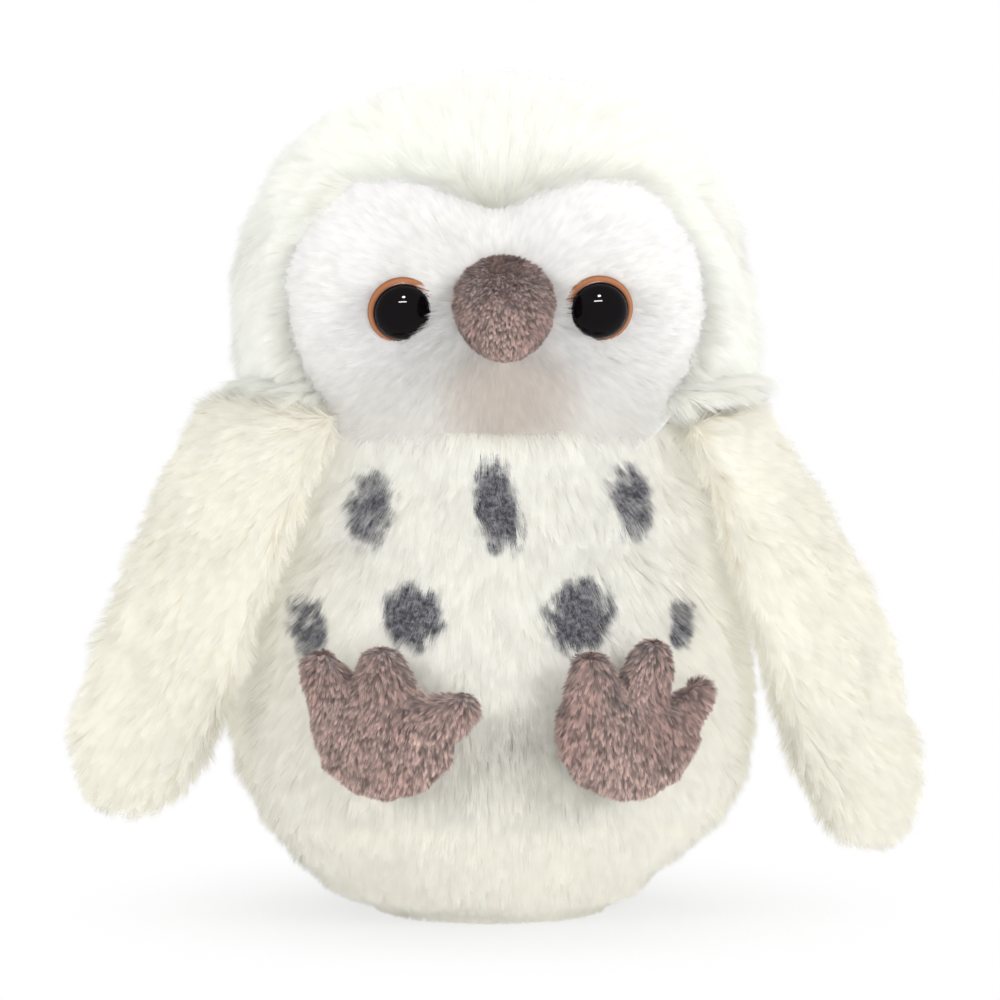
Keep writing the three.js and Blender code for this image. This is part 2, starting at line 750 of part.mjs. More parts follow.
function buildHead() {
  const sunk = long_pile_skin - short_pile_skin;
  const plug = neckPlug(0);
  const hollow = headForm(-long_pile_skin).intersect(neckPlug(-long_pile_skin));
  const hood = headForm(0).intersect(plug).subtract(hollow).subtract(neckHole(0));
  const mask = headForm(-sunk).intersect(plug).subtract(hollow).subtract(neckHole(0));
  const half = seam_gap / 2;

  let face = mask.intersect(facePrism(-half));
  let stuffing = headForm(-long_pile_skin - seam_gap).intersect(neckPlug(-long_pile_skin - seam_gap));
  const neckStuffing = headForm(-long_pile_skin - seam_gap).intersect(plug).intersect(neckHole(-seam_gap));
  stuffing = stuffing.add(neckStuffing);
  for (const [name, side] of [['left', -1], ['right', 1]]) {
    const x = side * eye_place;
    const socket = seatedOnFace(eyeSocket(), x, eye_level);
    face = face.subtract(socket);
    stuffing = stuffing.subtract(seatedOnFace(washerRoom(), x, eye_level));
    addPiece(`iris_${name}`, seatedOnFace(irisGeometry(), x, eye_level), 'amber_plastic');
    addPiece(`pupil_${name}`, seatedOnFace(pupilGeometry(), x, eye_level), 'black_plastic');
    addPiece(`lock_washer_${name}`, seatedOnFace(washerGeometry(), x, eye_level), 'washer_plastic');
  }
  addPiece('face_panel', face, 'face_plush');
  addPiece('head_stuffing', stuffing, 'stuffing');

  const hoodRim = hood.subtract(facePrism(half));
  const front = { back: head_back_seam_place - half };
  addPiece('hood_left_panel', hoodRim.intersect(roomWithin({ ...front, right: -half })), 'cream_plush');
  addPiece('hood_right_panel', hoodRim.intersect(roomWithin({ ...front, left: half })), 'cream_plush');
  const behind = roomWithin({ front: head_back_seam_place + half });
  addPiece('hood_back_panel', hoodRim.intersect(behind), 'cream_plush');
}

function buildBeak() {
  const sunk = long_pile_skin - short_pile_skin;
  const behind = headForm(seam_gap - sunk);
  const inner = beakForm(-beak_skin);
  const cover = beakForm(0).subtract(behind).subtract(inner);
  const seam = beak_level - beak_half_height * beak_seam_share;
  const half = seam_gap / 2;
  addPiece('beak_top_panel', cover.intersect(roomWithin({ bottom: seam + half })), 'mauve_plush');
  addPiece('beak_under_panel', cover.intersect(roomWithin({ top: seam - half })), 'mauve_plush');
  addPiece('beak_stuffing', beakForm(-beak_skin - seam_gap).subtract(behind), 'stuffing');
}

function buildWings() {
  const torso = torsoForm(seam_gap);
  const plug = neckPlug(seam_gap);
  const half = seam_gap / 2;
  const reach = wing_half_width + cutter_overrun;
  for (const wing of wings) {
    const seated = (grow) => solidOf(hung(wingForm(grow), wing)).subtract(torso).subtract(plug);
    const shell = seated(0).subtract(solidOf(hung(wingForm(-limb_skin), wing)));
    addPiece(`wing_${wing.name}_front_panel`, shell.intersect(wingHalf(wing, -reach, -half)), 'cream_plush');
    addPiece(`wing_${wing.name}_back_panel`, shell.intersect(wingHalf(wing, half, reach)), 'cream_plush');
    addPiece(`wing_${wing.name}_stuffing`, seated(-limb_skin - seam_gap), 'stuffing');
  }
}

function buildFeet() {
  const torso = torsoForm(seam_gap);
  const half = seam_gap / 2;
  const reach = toe_reach + cutter_overrun;
  for (const foot of feet) {
    const matrix = footMatrix(foot);
    const form = (grow) => footForm(grow, matrix, foot.toes);
    const shell = form(0).subtract(torso).subtract(form(-foot_skin));
    const halfRoom = (low, high) => {
      const box = new THREE.BoxGeometry(2 * reach, high - low, 2 * reach);
      box.translate(0, (low + high) / 2, 0);
      return solidOf(placed(mergeVertices(box), matrix));
    };
    addPiece(`foot_${foot.name}_sole`, shell.intersect(halfRoom(-reach, -half)), 'mauve_plush');
    addPiece(`foot_${foot.name}_upper`, shell.intersect(halfRoom(half, reach)), 'mauve_plush');
    const stuffing = form(-foot_skin - seam_gap).subtract(torso);
    addPiece(`foot_${foot.name}_stuffing`, stuffing, 'stuffing');
  }
}

buildTorso();
buildHead();
buildBeak();
buildWings();
buildFeet();

export default owl;
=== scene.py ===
# A plush owl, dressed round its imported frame: stuffed skins, plush pile made strand by strand, and eyes.
import json
import math
from contextlib import contextmanager

import bmesh
import bpy
import numpy as np
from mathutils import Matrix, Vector, noise as field

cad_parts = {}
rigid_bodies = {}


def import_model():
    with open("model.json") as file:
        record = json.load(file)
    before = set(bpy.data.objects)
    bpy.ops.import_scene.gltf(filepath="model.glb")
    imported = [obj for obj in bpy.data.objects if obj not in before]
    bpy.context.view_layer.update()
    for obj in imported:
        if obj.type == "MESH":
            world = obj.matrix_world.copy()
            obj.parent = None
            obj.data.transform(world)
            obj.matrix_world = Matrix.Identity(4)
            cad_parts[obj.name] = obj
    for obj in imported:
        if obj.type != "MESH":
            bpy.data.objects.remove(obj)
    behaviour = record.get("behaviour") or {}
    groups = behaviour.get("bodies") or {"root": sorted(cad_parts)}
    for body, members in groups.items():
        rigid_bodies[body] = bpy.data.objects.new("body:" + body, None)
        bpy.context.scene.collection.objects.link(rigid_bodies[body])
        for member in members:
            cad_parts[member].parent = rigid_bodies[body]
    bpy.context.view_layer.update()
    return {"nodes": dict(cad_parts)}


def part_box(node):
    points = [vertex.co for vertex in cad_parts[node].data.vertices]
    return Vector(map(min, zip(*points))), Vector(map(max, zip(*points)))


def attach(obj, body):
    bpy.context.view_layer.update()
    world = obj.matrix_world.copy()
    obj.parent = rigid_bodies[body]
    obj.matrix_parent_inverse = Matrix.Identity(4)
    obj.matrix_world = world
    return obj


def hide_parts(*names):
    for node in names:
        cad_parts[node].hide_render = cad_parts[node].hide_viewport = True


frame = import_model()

# Sizes, levels and distances are in millimetres unless a name says otherwise, also those that smooth_step
# eases between; MM turns them into the frame's metres.
MM = 0.001

# Photograph: its scale, where the owl's axis stands in it, and the camera's angles and distance.
PIXEL = 0.215
AXIS_COLUMN = 492
MIDDLE_PIXEL = 500
GROUND_ROW = 912.7
FRAME_PIXELS = 1000
CAMERA_TURN = math.radians(-2)
CAMERA_RISE = math.radians(7)
CAMERA_DISTANCE = 3000
SENSOR = 36

# How far the fur's outline stands out from the cloth under it, for each kind of plush.
LONG_DEPTH = 4.6
WING_DEPTH = 3.6
FOOT_DEPTH = 0.9
BEAK_DEPTH = 0.8
# The stuffing's soft swell under the pile: how high and how wide.
BODY_SWELL = (0.9, 7.5)
WING_SWELL = (0.8, 7)
FOOT_SWELL = (0.25, 3)
# No fibre and no cloth goes lower than this.
LOWEST_FIBRE = 0.15
LOWEST_CLOTH = 0.2

# Head: the same rounded block as in the frame.
HEAD_HALF_WIDTH = 57.3
HEAD_FRONT = 44
HEAD_BACK = 43
HEAD_WIDE_LEVEL = 124
HEAD_CROWN_RISE = 58
HEAD_CHEEK_DROP = 34
HEAD_ROUNDNESS = 2.3
HEAD_SIDES = 144
HEAD_ROWS = 88
NECK_BALL_RADIUS = 110
NECK_BALL_LOWEST = 102
HEAD_BACK_SEAM = 12
HOOD_SEAM_WIDTH = 3
HOOD_SEAM_DEPTH = 0.8
# How the photograph's head differs: a rounder crown, cheeks tucked in at their foot and moved to one side.
CROWN_ROUNDING = 1.4
CHEEK_FOOT_TUCK = 2.0
CHEEK_SHIFT = 0.9

# Face: the two-lobed disc, as shares of its half width and half height.
FACE_HALF_WIDTH = 45.5
FACE_HALF_HEIGHT = 28.5
FACE_LEVEL = 138
FACE_OUTLINE_SHARES = [
    (0, 0.62), (0.18, 0.72), (0.42, 0.83), (0.66, 0.77), (0.85, 0.5), (0.955, 0.14),
    (0.955, -0.28), (0.86, -0.72), (0.68, -1.08), (0.4, -1.3), (0, -1.36),
]
FACE_SPOKES = 160
FACE_RINGS = 44
FACE_SINK = 3.2
FACE_RIM_SINK = 7.5
FACE_RIM_WIDTH = 9
FACE_WALL = 1.5
FURROW_DEPTH = 2.2
FURROW_HALF_WIDTH = 4.5
HOOD_ROLL_WIDTH = 5
HOOD_ROLL_DEPTH = 9

# Eyes.
IRIS_RADIUS = 7.4
PUPIL_RADIUS = 6.1
PUPIL_MIDDLE = 2.7
PUPIL_RISE = 3.4
# How far the face's padding pushes each eye: across, outwards and up.
EYE_PUSH = {"left": (2.0, -0.9, -2.0), "right": (-0.6, -0.9, -1.8)}

# Beak: how much wider its stuffing makes it than its frame, and how far it leans over and drops at its crown.
BEAK_WIDENING = 1.08
BEAK_LEAN = 1.0
BEAK_CROWN_DROP = 1.0

# Torso: where its seams run, how a seam's furrow is shaped, and how far the right of its foot is tucked in.
# OUT_OF_REACH is added to a distance where its seam doesn't run.
OUT_OF_REACH = 100
SIDE_SEAM = -10
SEAT_SEAM_LEVEL = 25
SEAT_CREASE_LEVEL = 27
SEAM_WIDTH = 3.5
SEAM_DEPTH = 1.0
CREASE_DEPTH = 0.8
SEAT_RIGHT_TUCK = 3.6

# Wings: how much fuller each one's outer side is than its frame, by level, where its stuffing has settled,
# how long it hangs against its frame, and how far its shoulder rises.
WING_FULLNESS = {
    "left": ((18, 1.2), (30, 1.6), (45, -0.2), (62, -1.0), (78, 1.0), (88, 3.4), (94, 5.6), (100, 6.8),
             (107, 5.2), (114, 1.5)),
    "right": ((12, 2.0), (30, 3.8), (50, 2.4), (66, 3.0), (82, 2.6), (95, 0.6), (108, -2.2), (114, -1.5)),
}
WING_DROP = {"left": 0.99, "right": 1.035}
WING_SHOULDER_RISE = {"left": 2.4, "right": -0.8}
FOOT_HEEL_RISE = 1.2

# How much flatter the pile lies in front than its look says, on the hood and on the face.
HOOD_FRONT_SLEEK = 0.8
FACE_SLEEK = 0.5


def lerp(a, b, share):
    return a + (b - a) * share


def smooth_step(values, low, high):
    share = np.clip((values - low) / (high - low), 0, 1)
    return share * share * (3 - 2 * share)


def unit(vectors):
    return vectors / np.maximum(np.linalg.norm(vectors, axis=-1, keepdims=True), 1e-9)


# Mesh helpers

def show(name, data):
    piece = bpy.data.objects.new(name, data)
    bpy.context.scene.collection.objects.link(piece)
    return piece


def mesh_piece(name, points, faces):
    """A smooth piece from points in millimetres."""
    mesh = bpy.data.meshes.new(name)
    mesh.from_pydata((np.asarray(points) * MM).tolist(), [], [list(map(int, face)) for face in faces])
    mesh.shade_smooth()
    return show(name, mesh)


def gathered(rows, key, width=3, kind=np.float32):
    """One value of each row of a mesh's data."""
    flat = np.empty(len(rows) * width, kind)
    rows.foreach_get(key, flat)
    return flat.reshape(-1, width)


def points_of(piece):
    return gathered(piece.data.vertices, "co").astype(float) / MM


def put_points(piece, points):
    piece.data.vertices.foreach_set("co", (points * MM).astype(np.float32).ravel())
    piece.data.update()


def normals_of(piece):
    return gathered(piece.data.vertex_normals, "vector").astype(float)


def mark(mesh, name, kind, values):
    """Gives each vertex of a mesh a named value."""
    attribute = mesh.attributes.new(name, kind, "POINT")
    attribute.data.foreach_set("value" if kind == "FLOAT" else "vector", np.asarray(values, np.float32).ravel())


@contextmanager
def reshaped(mesh):
    """Opens a mesh for changes to its vertices and faces."""
    shape = bmesh.new()
    shape.from_mesh(mesh)
    yield shape
    shape.to_mesh(mesh)
    shape.free()


def quilt(sides, rings, first=0, foot=None, crown=None):
    """The faces of a round grid: quads between its rings, and triangles to a lone point under or over it."""
    faces = []
    last = first + (rings - 1) * sides
    for side in range(sides):
        beside = (side + 1) % sides
        if foot is not None:
            faces.append((foot, first + beside, first + side))
        for low in range(first, last, sides):
            high = low + sides
            faces.append((low + side, low + beside, high + beside, high + side))
        if crown is not None:
            faces.append((crown, last + side, last + beside))
    return faces


def settle(piece):
    """Turns what a piece's modifiers make into its own plain mesh."""
    ready = piece.evaluated_get(bpy.context.evaluated_depsgraph_get())
    mesh = bpy.data.meshes.new_from_object(ready)
    piece.modifiers.clear()
    piece.data = mesh
    return piece


def soften(piece, rounds):
    """Evens out a skin without shrinking it."""
    edges = gathered(piece.data.edges, "vertices", 2, np.int32)
    points = points_of(piece)
    count = np.bincount(edges.ravel(), minlength=len(points))[:, None]
    for _ in range(rounds):
        for step in (0.5, -0.52):
            total = np.zeros_like(points)
            np.add.at(total, edges[:, 0], points[edges[:, 1]])
            np.add.at(total, edges[:, 1], points[edges[:, 0]])
            points = points + step * (total / count - points)
    put_points(piece, points)


def outer_shell(mesh):
    """Keeps only the largest of a mesh's separate shells: each vertex takes on its shell's lowest number."""
    first, second = gathered(mesh.edges, "vertices", 2, np.int32).T
    shell, before = np.arange(len(mesh.vertices)), None
    while not np.array_equal(shell, before):
        before = shell.copy()
        lower = np.minimum(shell[first], shell[second])
        np.minimum.at(shell, first, lower)
        np.minimum.at(shell, second, lower)
        shell = shell[shell]
    kept = shell == np.bincount(shell).argmax()
    with reshaped(mesh) as shape:
        bmesh.ops.delete(shape, geom=[v for v in shape.verts if not kept[v.index]], context="VERTS")


def stuffed(name, nodes, voxel, rounds):
    """A closed stuffed skin round the outer form of some CAD nodes."""
    shape = bmesh.new()
    for node in nodes:
        shape.from_mesh(frame["nodes"][node].data)
    bmesh.ops.remove_doubles(shape, verts=shape.verts, dist=0.001 * MM)
    mesh = bpy.data.meshes.new(name)
    shape.to_mesh(mesh)
    shape.free()
    piece = show(name, mesh)
    grid = piece.modifiers.new("grid", "REMESH")
    grid.mode = "VOXEL"
    grid.voxel_size = voxel * MM
    settle(piece)
    outer_shell(piece.data)
    soften(piece, rounds)
    piece.data.shade_smooth()
    return piece


def draw_in(piece, depth):
    """Draws a skin in from the fur's outline to the cloth, by one depth or by one for each point."""
    put_points(piece, points_of(piece) - np.reshape(depth, (-1, 1)) * normals_of(piece))
    soften(piece, 2)


def rumple(piece, height, size):
    """Gives a skin the soft uneven swell of stuffing under thick pile."""
    points = points_of(piece)
    swell = np.array([field.noise(Vector(place)) for place in points / size])
    put_points(piece, points + height * swell[:, None] * normals_of(piece))


# Node helpers

def maths(operation):
    return lambda self, other: self.graph.number("ShaderNodeMath", {0: self, 1: other}, operation=operation)


class Maths:
    """A number in a node tree, so that maths on it is written as Python."""
    __add__, __sub__, __mul__ = maths("ADD"), maths("SUBTRACT"), maths("MULTIPLY")
    __pow__, __mod__ = maths("POWER"), maths("MODULO")
    larger, smaller = maths("MAXIMUM"), maths("MINIMUM")

    def __init__(self, graph, socket):
        self.graph = graph
        self.socket = socket


def opened(sockets, name=None):
    """The first socket that is in use for the node's kind of data, or the one of that name."""
    return next(socket for socket in sockets if socket.enabled and name in (None, socket.name))


class Graph:
    """Makes the nodes of one tree."""

    def __init__(self, tree):
        self.tree = tree

    def node(self, kind, sockets=None, stops=(), **settings):
        """A new node; each socket is linked to what it is given, or set to it."""
        made = self.tree.nodes.new(kind)
        for key, value in settings.items():
            setattr(made, key, value)
        if stops:
            ramp = made.color_ramp.elements
            while len(ramp) < len(stops):
                ramp.new(1)
            for element, (place, colour) in zip(ramp, stops):
                element.position, element.color = place, colour
        for key, value in (sockets or {}).items():
            socket = made.inputs[key] if isinstance(key, int) else opened(made.inputs, key)
            if isinstance(value, Maths):
                value = value.socket
            if isinstance(value, bpy.types.NodeSocket):
                self.tree.links.new(value, socket)
            else:
                socket.default_value = value
        return made

    def result(self, kind, sockets=None, **settings):
        return opened(self.node(kind, sockets, **settings).outputs)

    def number(self, kind, sockets=None, **settings):
        return Maths(self, self.result(kind, sockets, **settings))

    def vector(self, operation, *parts):
        return self.result("ShaderNodeVectorMath", dict(enumerate(parts)), operation=operation)

    def scaled(self, vector, factor):
        return self.result("ShaderNodeVectorMath", {0: vector, "Scale": factor}, operation="SCALE")

    def eased(self, value, low, high, least=0.0, most=1.0, curve="SMOOTHSTEP"):
        """How far a value has come from low to high, as a number from least to most."""
        sockets = {"Value": value, "From Min": low, "From Max": high, "To Min": least, "To Max": most}
        return self.number("ShaderNodeMapRange", sockets, interpolation_type=curve)


# Pile

def strand_blade():
    """One fibre bundle of unit length and width, with its height share and its own map."""
    points = [(-0.5, 0, 0), (0.5, 0, 0), (0, 0, 1)]
    mesh = bpy.data.meshes.new("strand")
    mesh.from_pydata(points, [], [(0, 2, 1)])
    mark(mesh, "along", "FLOAT", [0, 0, 1])
    mark(mesh, "blade_map", "FLOAT_VECTOR", [(p[0], p[2], 0) for p in points])
    return show("strand", mesh)


PILE_NUMBERS = ("Density", "Length", "Width", "Lean", "Stray", "Swirl", "Swirl size", "Tuft density",
                "Tuft pull", "Lock tone", "Twist", "Map size")
PILE_INPUTS = {"Strand": "NodeSocketObject", **dict.fromkeys(PILE_NUMBERS, "NodeSocketFloat"),
               "Seed": "NodeSocketInt", "Finish": "NodeSocketMaterial"}


def pile_tree():
    """Sows strands on a skin: each leans along the skin's lay and is drawn to the tip of its tuft."""
    tree = bpy.data.node_groups.new("pile", "GeometryNodeTree")
    for way in ("INPUT", "OUTPUT"):
        tree.interface.new_socket(name="Geometry", in_out=way, socket_type="NodeSocketGeometry")
    for name, kind in PILE_INPUTS.items():
        tree.interface.new_socket(name=name, in_out="INPUT", socket_type=kind)
    graph = Graph(tree)
    given = graph.node("NodeGroupInput").outputs
    position = graph.result("GeometryNodeInputPosition")

    def taken(name):
        return Maths(graph, given[name])

    def attribute(name, kind="FLOAT_VECTOR"):
        return graph.result("GeometryNodeInputNamedAttribute", {"Name": name}, data_type=kind)

    def store(geometry, name, kind, domain, value):
        sockets = {"Geometry": geometry, "Name": name, "Value": value}
        return graph.result("GeometryNodeStoreNamedAttribute", sockets, data_type=kind, domain=domain)

    def random(low, high, seed, kind="FLOAT", **place):
        sockets = {"Min": low, "Max": high, "Seed": taken("Seed") + seed, **place}
        return graph.result("FunctionNodeRandomValue", sockets, data_type=kind)

    def number(low, high, seed, **place):
        return Maths(graph, random(low, high, seed, **place))

    def sown(density, seed):
        sockets = {"Mesh": given["Geometry"], "Density": density, "Seed": taken("Seed") + seed}
        return graph.result("GeometryNodeDistributePointsOnFaces", sockets)

    out = attribute("out")
    share = Maths(graph, attribute("pile_share", "FLOAT"))
    upright, lying = (graph.scaled(way, graph.number("ShaderNodeMath", {0: given["Lean"]}, operation=turn))
                      for way, turn in ((out, "COSINE"), (attribute("flow"), "SINE")))
    sockets = {"Vector": position, "Scale": given["Swirl size"], "Detail": 2.0, "Roughness": 0.5}
    drift = graph.node("ShaderNodeTexNoise", sockets, noise_dimensions="3D").outputs["Color"]
    centred = graph.vector("SUBTRACT", drift, (0.5, 0.5, 0.5))
    lay = graph.vector("ADD", graph.vector("ADD", upright, lying), graph.scaled(centred, given["Swirl"]))

    def tip(seed, least):
        stray = random((-1, -1, -1), (1, 1, 1), seed, "FLOAT_VECTOR")
        along = graph.vector("NORMALIZE", graph.vector("ADD", lay, graph.scaled(stray, given["Stray"])))
        length = taken("Length") * share * number(least, 1.0, seed + 1)
        return graph.vector("ADD", position, graph.scaled(along, length))

    strands = sown(given["Density"], 0)
    tufts = sown(given["Tuft density"], 1)
    nearest = graph.result("GeometryNodeSampleNearest", {"Geometry": tufts}, domain="POINT")
    sockets = {"Geometry": tufts, "Value": tip(10, 0.9), "Index": nearest}
    tuft_tip = graph.result("GeometryNodeSampleIndex", sockets, data_type="FLOAT_VECTOR", domain="POINT")
    own_tip = tip(30, 0.8)
    pull = taken("Tuft pull") * number(0.3, 1.0, 20)
    between = graph.scaled(graph.vector("SUBTRACT", tuft_tip, own_tip), pull)
    axis = graph.vector("SUBTRACT", graph.vector("ADD", own_tip, between), position)
    length = graph.vector("LENGTH", axis)
    turned = graph.result("FunctionNodeAxesToRotation", {0: axis, 1: out}, primary_axis="Z", secondary_axis="Y")
    twist = number(-1.0, 1.0, 40) * taken("Twist")
    spin = graph.result("FunctionNodeAxisAngleToRotation", {"Axis": (0, 0, 1), "Angle": twist})
    rotation = graph.result("FunctionNodeRotateRotation", {0: turned, 1: spin}, rotation_space="LOCAL")
    thick = taken("Width") * number(0.7, 1.3, 50)
    size = graph.result("ShaderNodeCombineXYZ", {0: thick, 1: length, 2: length})
    blade = graph.node("GeometryNodeObjectInfo", {"Object": given["Strand"]}).outputs["Geometry"]
    planted = graph.result("GeometryNodeInstanceOnPoints", {
        "Points": strands, "Instance": blade, "Rotation": rotation, "Scale": size})
    aimed = store(planted, "aim", "FLOAT_VECTOR", "INSTANCE", graph.vector("NORMALIZE", axis))
    own, lock = number(0.0, 1.0, 60), number(0.0, 1.0, 70, ID=nearest)
    toned = store(aimed, "tone", "FLOAT", "INSTANCE", own + (lock - own) * given["Lock tone"])
    real = graph.result("GeometryNodeRealizeInstances", {0: toned})
    within = graph.scaled(attribute("blade_map"), given["Map size"])
    mapped = store(real, "OFBake", "FLOAT2", "CORNER", graph.vector("ADD", attribute("bake_place"), within))
    finished = graph.result("GeometryNodeSetMaterial", {"Geometry": mapped, "Material": given["Finish"]})
    graph.node("NodeGroupOutput", {0: finished})
    return tree


STRAND = strand_blade()
PILE = pile_tree()
THINNING = 1.0
# Where each body's random draws start.
SEEDS = {"torso": 100, "hood": 200, "face": 210, "beak": 300, "wing": 400, "foot": 500}
# How much of the OFBake map one strand takes, how far it may turn about itself, and how far its lean turns
# its shading off the skin's, for most piles and by finish.
STRAND_MAP_SIZE = 0.006
STRAND_TWIST = 0.6
TILT = 0.7
TILTS = {"mauve_pile": 1.0, "face_pile": 0.6}


def shade_like_skin(piece, tilt):
    """Shades strands by the skin's direction, tilted off each strand's lean, so that the pile looks soft."""
    mesh = piece.data
    out, aim = (unit(gathered(mesh.attributes[key].data, "vector")) for key in ("out", "aim"))
    lean = aim - out * np.sum(aim * out, axis=1, keepdims=True)
    mesh.normals_split_custom_set_from_vertices(unit(out - tilt * lean).tolist())


def sow(name, skin, chosen, lay, share, place, look, finish, seed):
    """Grows one panel's pile on the chosen faces of a skin, and returns it as a plain mesh piece."""
    points = points_of(skin)
    out = normals_of(skin)
    flow = lay(points)
    bend = np.linalg.norm(flow, axis=1, keepdims=True)
    flow = bend * unit(flow - out * np.sum(flow * out, axis=1, keepdims=True))
    ground = skin.copy()
    ground.data = skin.data.copy()
    ground.name = name
    ground.parent = None
    bpy.context.scene.collection.objects.link(ground)
    for key, values in (("out", out), ("flow", flow), ("bake_place", place(points))):
        mark(ground.data, key, "FLOAT_VECTOR", values)
    mark(ground.data, "pile_share", "FLOAT", share(points))
    with reshaped(ground.data) as shape:
        centres = np.array([face.calc_center_median() for face in shape.faces]) / MM
        facing = np.array([face.normal for face in shape.faces])
        keep = chosen(centres, facing)
        bmesh.ops.delete(shape, geom=[f for f, kept in zip(shape.faces, keep) if not kept], context="FACES")
    modifier = ground.modifiers.new("pile", "NODES")
    modifier.node_group = PILE
    values = {"Strand": STRAND, "Seed": seed, "Finish": finish, "Map size": STRAND_MAP_SIZE,
              "Twist": STRAND_TWIST, **dict(zip(PILE_NUMBERS, LOOKS[look]))}
    values["Density"] *= THINNING
    for socket in PILE.interface.items_tree:
        if socket.in_out == "INPUT" and socket.name in values:
            modifier[socket.identifier] = values[socket.name]
    settle(ground)
    shade_like_skin(ground, TILTS.get(finish.name, TILT))
    for spare in ("bake_place", "blade_map", "out", "aim", "flow", "pile_share"):
        if spare in ground.data.attributes:
            ground.data.attributes.remove(ground.data.attributes[spare])
    lifted = points_of(ground)
    lifted[:, 2] = np.maximum(lifted[:, 2], LOWEST_FIBRE)
    put_points(ground, lifted)
    return ground


# Finishes

def srgb(*parts):
    """A colour read off a picture, as the light that it stands for."""
    shares = [part / 255 for part in parts]
    return (*(s / 12.92 if s <= 0.04045 else ((s + 0.055) / 1.055) ** 2.4 for s in shares), 1.0)


def new_finish(name):
    finish = bpy.data.materials.new(name)
    finish.use_nodes = True
    finish.node_tree.nodes.clear()
    return finish, Graph(finish.node_tree)


def end_finish(graph, sockets):
    """Ends a finish with its one shader."""
    shader = graph.result("ShaderNodeBsdfPrincipled", sockets)
    graph.node("ShaderNodeOutputMaterial", {"Surface": shader})


def object_places(graph):
    """The three object coordinates, in millimetres."""
    place = graph.node("ShaderNodeTexCoord").outputs["Object"]
    parts = graph.node("ShaderNodeSeparateXYZ", {0: place})
    return [Maths(graph, part) * (1 / MM) for part in parts.outputs]


def strand_value(graph, name):
    """A number that the mesh carries, such as a strand's tone."""
    return Maths(graph, graph.node("ShaderNodeAttribute", attribute_name=name).outputs["Fac"])


def blend_colours(graph, share, first, second, how="MIX"):
    """Some share of the way from the first colour to the second."""
    sockets = {"Factor": share, "A": first, "B": second}
    return graph.result("ShaderNodeMix", sockets, data_type="RGBA", blend_type=how)


def noise(graph, scale, detail=2.0, output="Fac"):
    """Soft random values that stay with the object; the scale is waves a metre."""
    place = graph.node("ShaderNodeTexCoord").outputs["Object"]
    made = graph.node("ShaderNodeTexNoise", {"Vector": place, "Scale": scale, "Detail": detail})
    return made.outputs[output]


# Airbrushed spots on the belly: middle across, level, half width, half height, lean in degrees, depth.
SPOTS = (
    (-27.0, 91.8, 4.4, 7.4, -12, 0.85), (-0.4, 93.4, 4.0, 9.2, 12, 1.0), (28.4, 93.0, 4.2, 7.4, 8, 0.85),
    (-18.2, 69.6, 5.8, 6.2, 0, 1.0), (17.0, 69.6, 6.4, 6.6, -10, 1.0),
    (-40.2, 65.5, 3.6, 6.4, 10, 0.75), (39.6, 66.0, 2.6, 4.6, 0, 0.85),
)
BELLY_COOL = srgb(244, 244, 240)
SPOT_DARK = srgb(24, 22, 31)
SPOT_LIGHT = srgb(170, 170, 179)
# How far out a spot's dye fades, as a square of its half size, and how far its edge wanders across and up.
SPOT_EDGE = 2.6
SPOT_WANDER = (5, 6)
# Painted shade: a beige painted shadow on the face under the beak, its middle and reach across and up, and the
# grey painted shade of the face's foot.
CHIN_SHADOW_MIDDLE = (2.5, 116)
CHIN_SHADOW_REACH = (10.5, 8)
CHIN_PAINTED_SHADOW = srgb(199, 186, 174)
FACE_FOOT_PAINTED_SHADE = srgb(228, 226, 221)


def spot_mask(graph):
    """How deep the spots' dye is at a place, with edges that wander."""
    x, y, z = object_places(graph)
    wobble = graph.node("ShaderNodeSeparateColor", {0: noise(graph, 220.0, 3.0, "Color")}).outputs
    x, z = (place + (Maths(graph, shift) - 0.5) * far for place, shift, far in zip((x, z), wobble, SPOT_WANDER))
    mask = None
    for across, level, half_width, half_height, lean, depth in SPOTS:
        cosine, sine = math.cos(math.radians(lean)), math.sin(math.radians(lean))
        right, up = x - across, z - level
        width = (right * cosine + up * sine) * (1 / half_width)
        height = (up * cosine - right * sine) * (1 / half_height)
        spot = graph.eased(width * width + height * height, SPOT_EDGE, 0.0, most=depth)
        mask = spot if mask is None else mask.larger(spot)
    return mask * graph.eased(y, -12.0, -18.0, curve="LINEAR")


def belly_middle(graph):
    """How far a place is inside the belly panel, away from its seams."""
    x, _, z = object_places(graph)
    return graph.eased(x * x, 44.0 ** 2, 24.0 ** 2) * graph.eased(z, SEAT_CREASE_LEVEL, 60.0)


def paint_chin_shade(graph, colour):
    """Painted shade: the face's foot is painted greyer, and a beige painted shadow lies under the beak."""
    x, _, z = object_places(graph)
    right, up = ((place - middle) * (1 / reach) for place, middle, reach in zip((x, z), CHIN_SHADOW_MIDDLE, CHIN_SHADOW_REACH))
    near = graph.eased(right * right + up * up, 3.2, 0.0, most=0.66)
    foot = graph.eased(z, 132.0, 108.0, most=0.9)
    return blend_colours(graph, near, blend_colours(graph, foot, colour, FACE_FOOT_PAINTED_SHADE), CHIN_PAINTED_SHADOW)


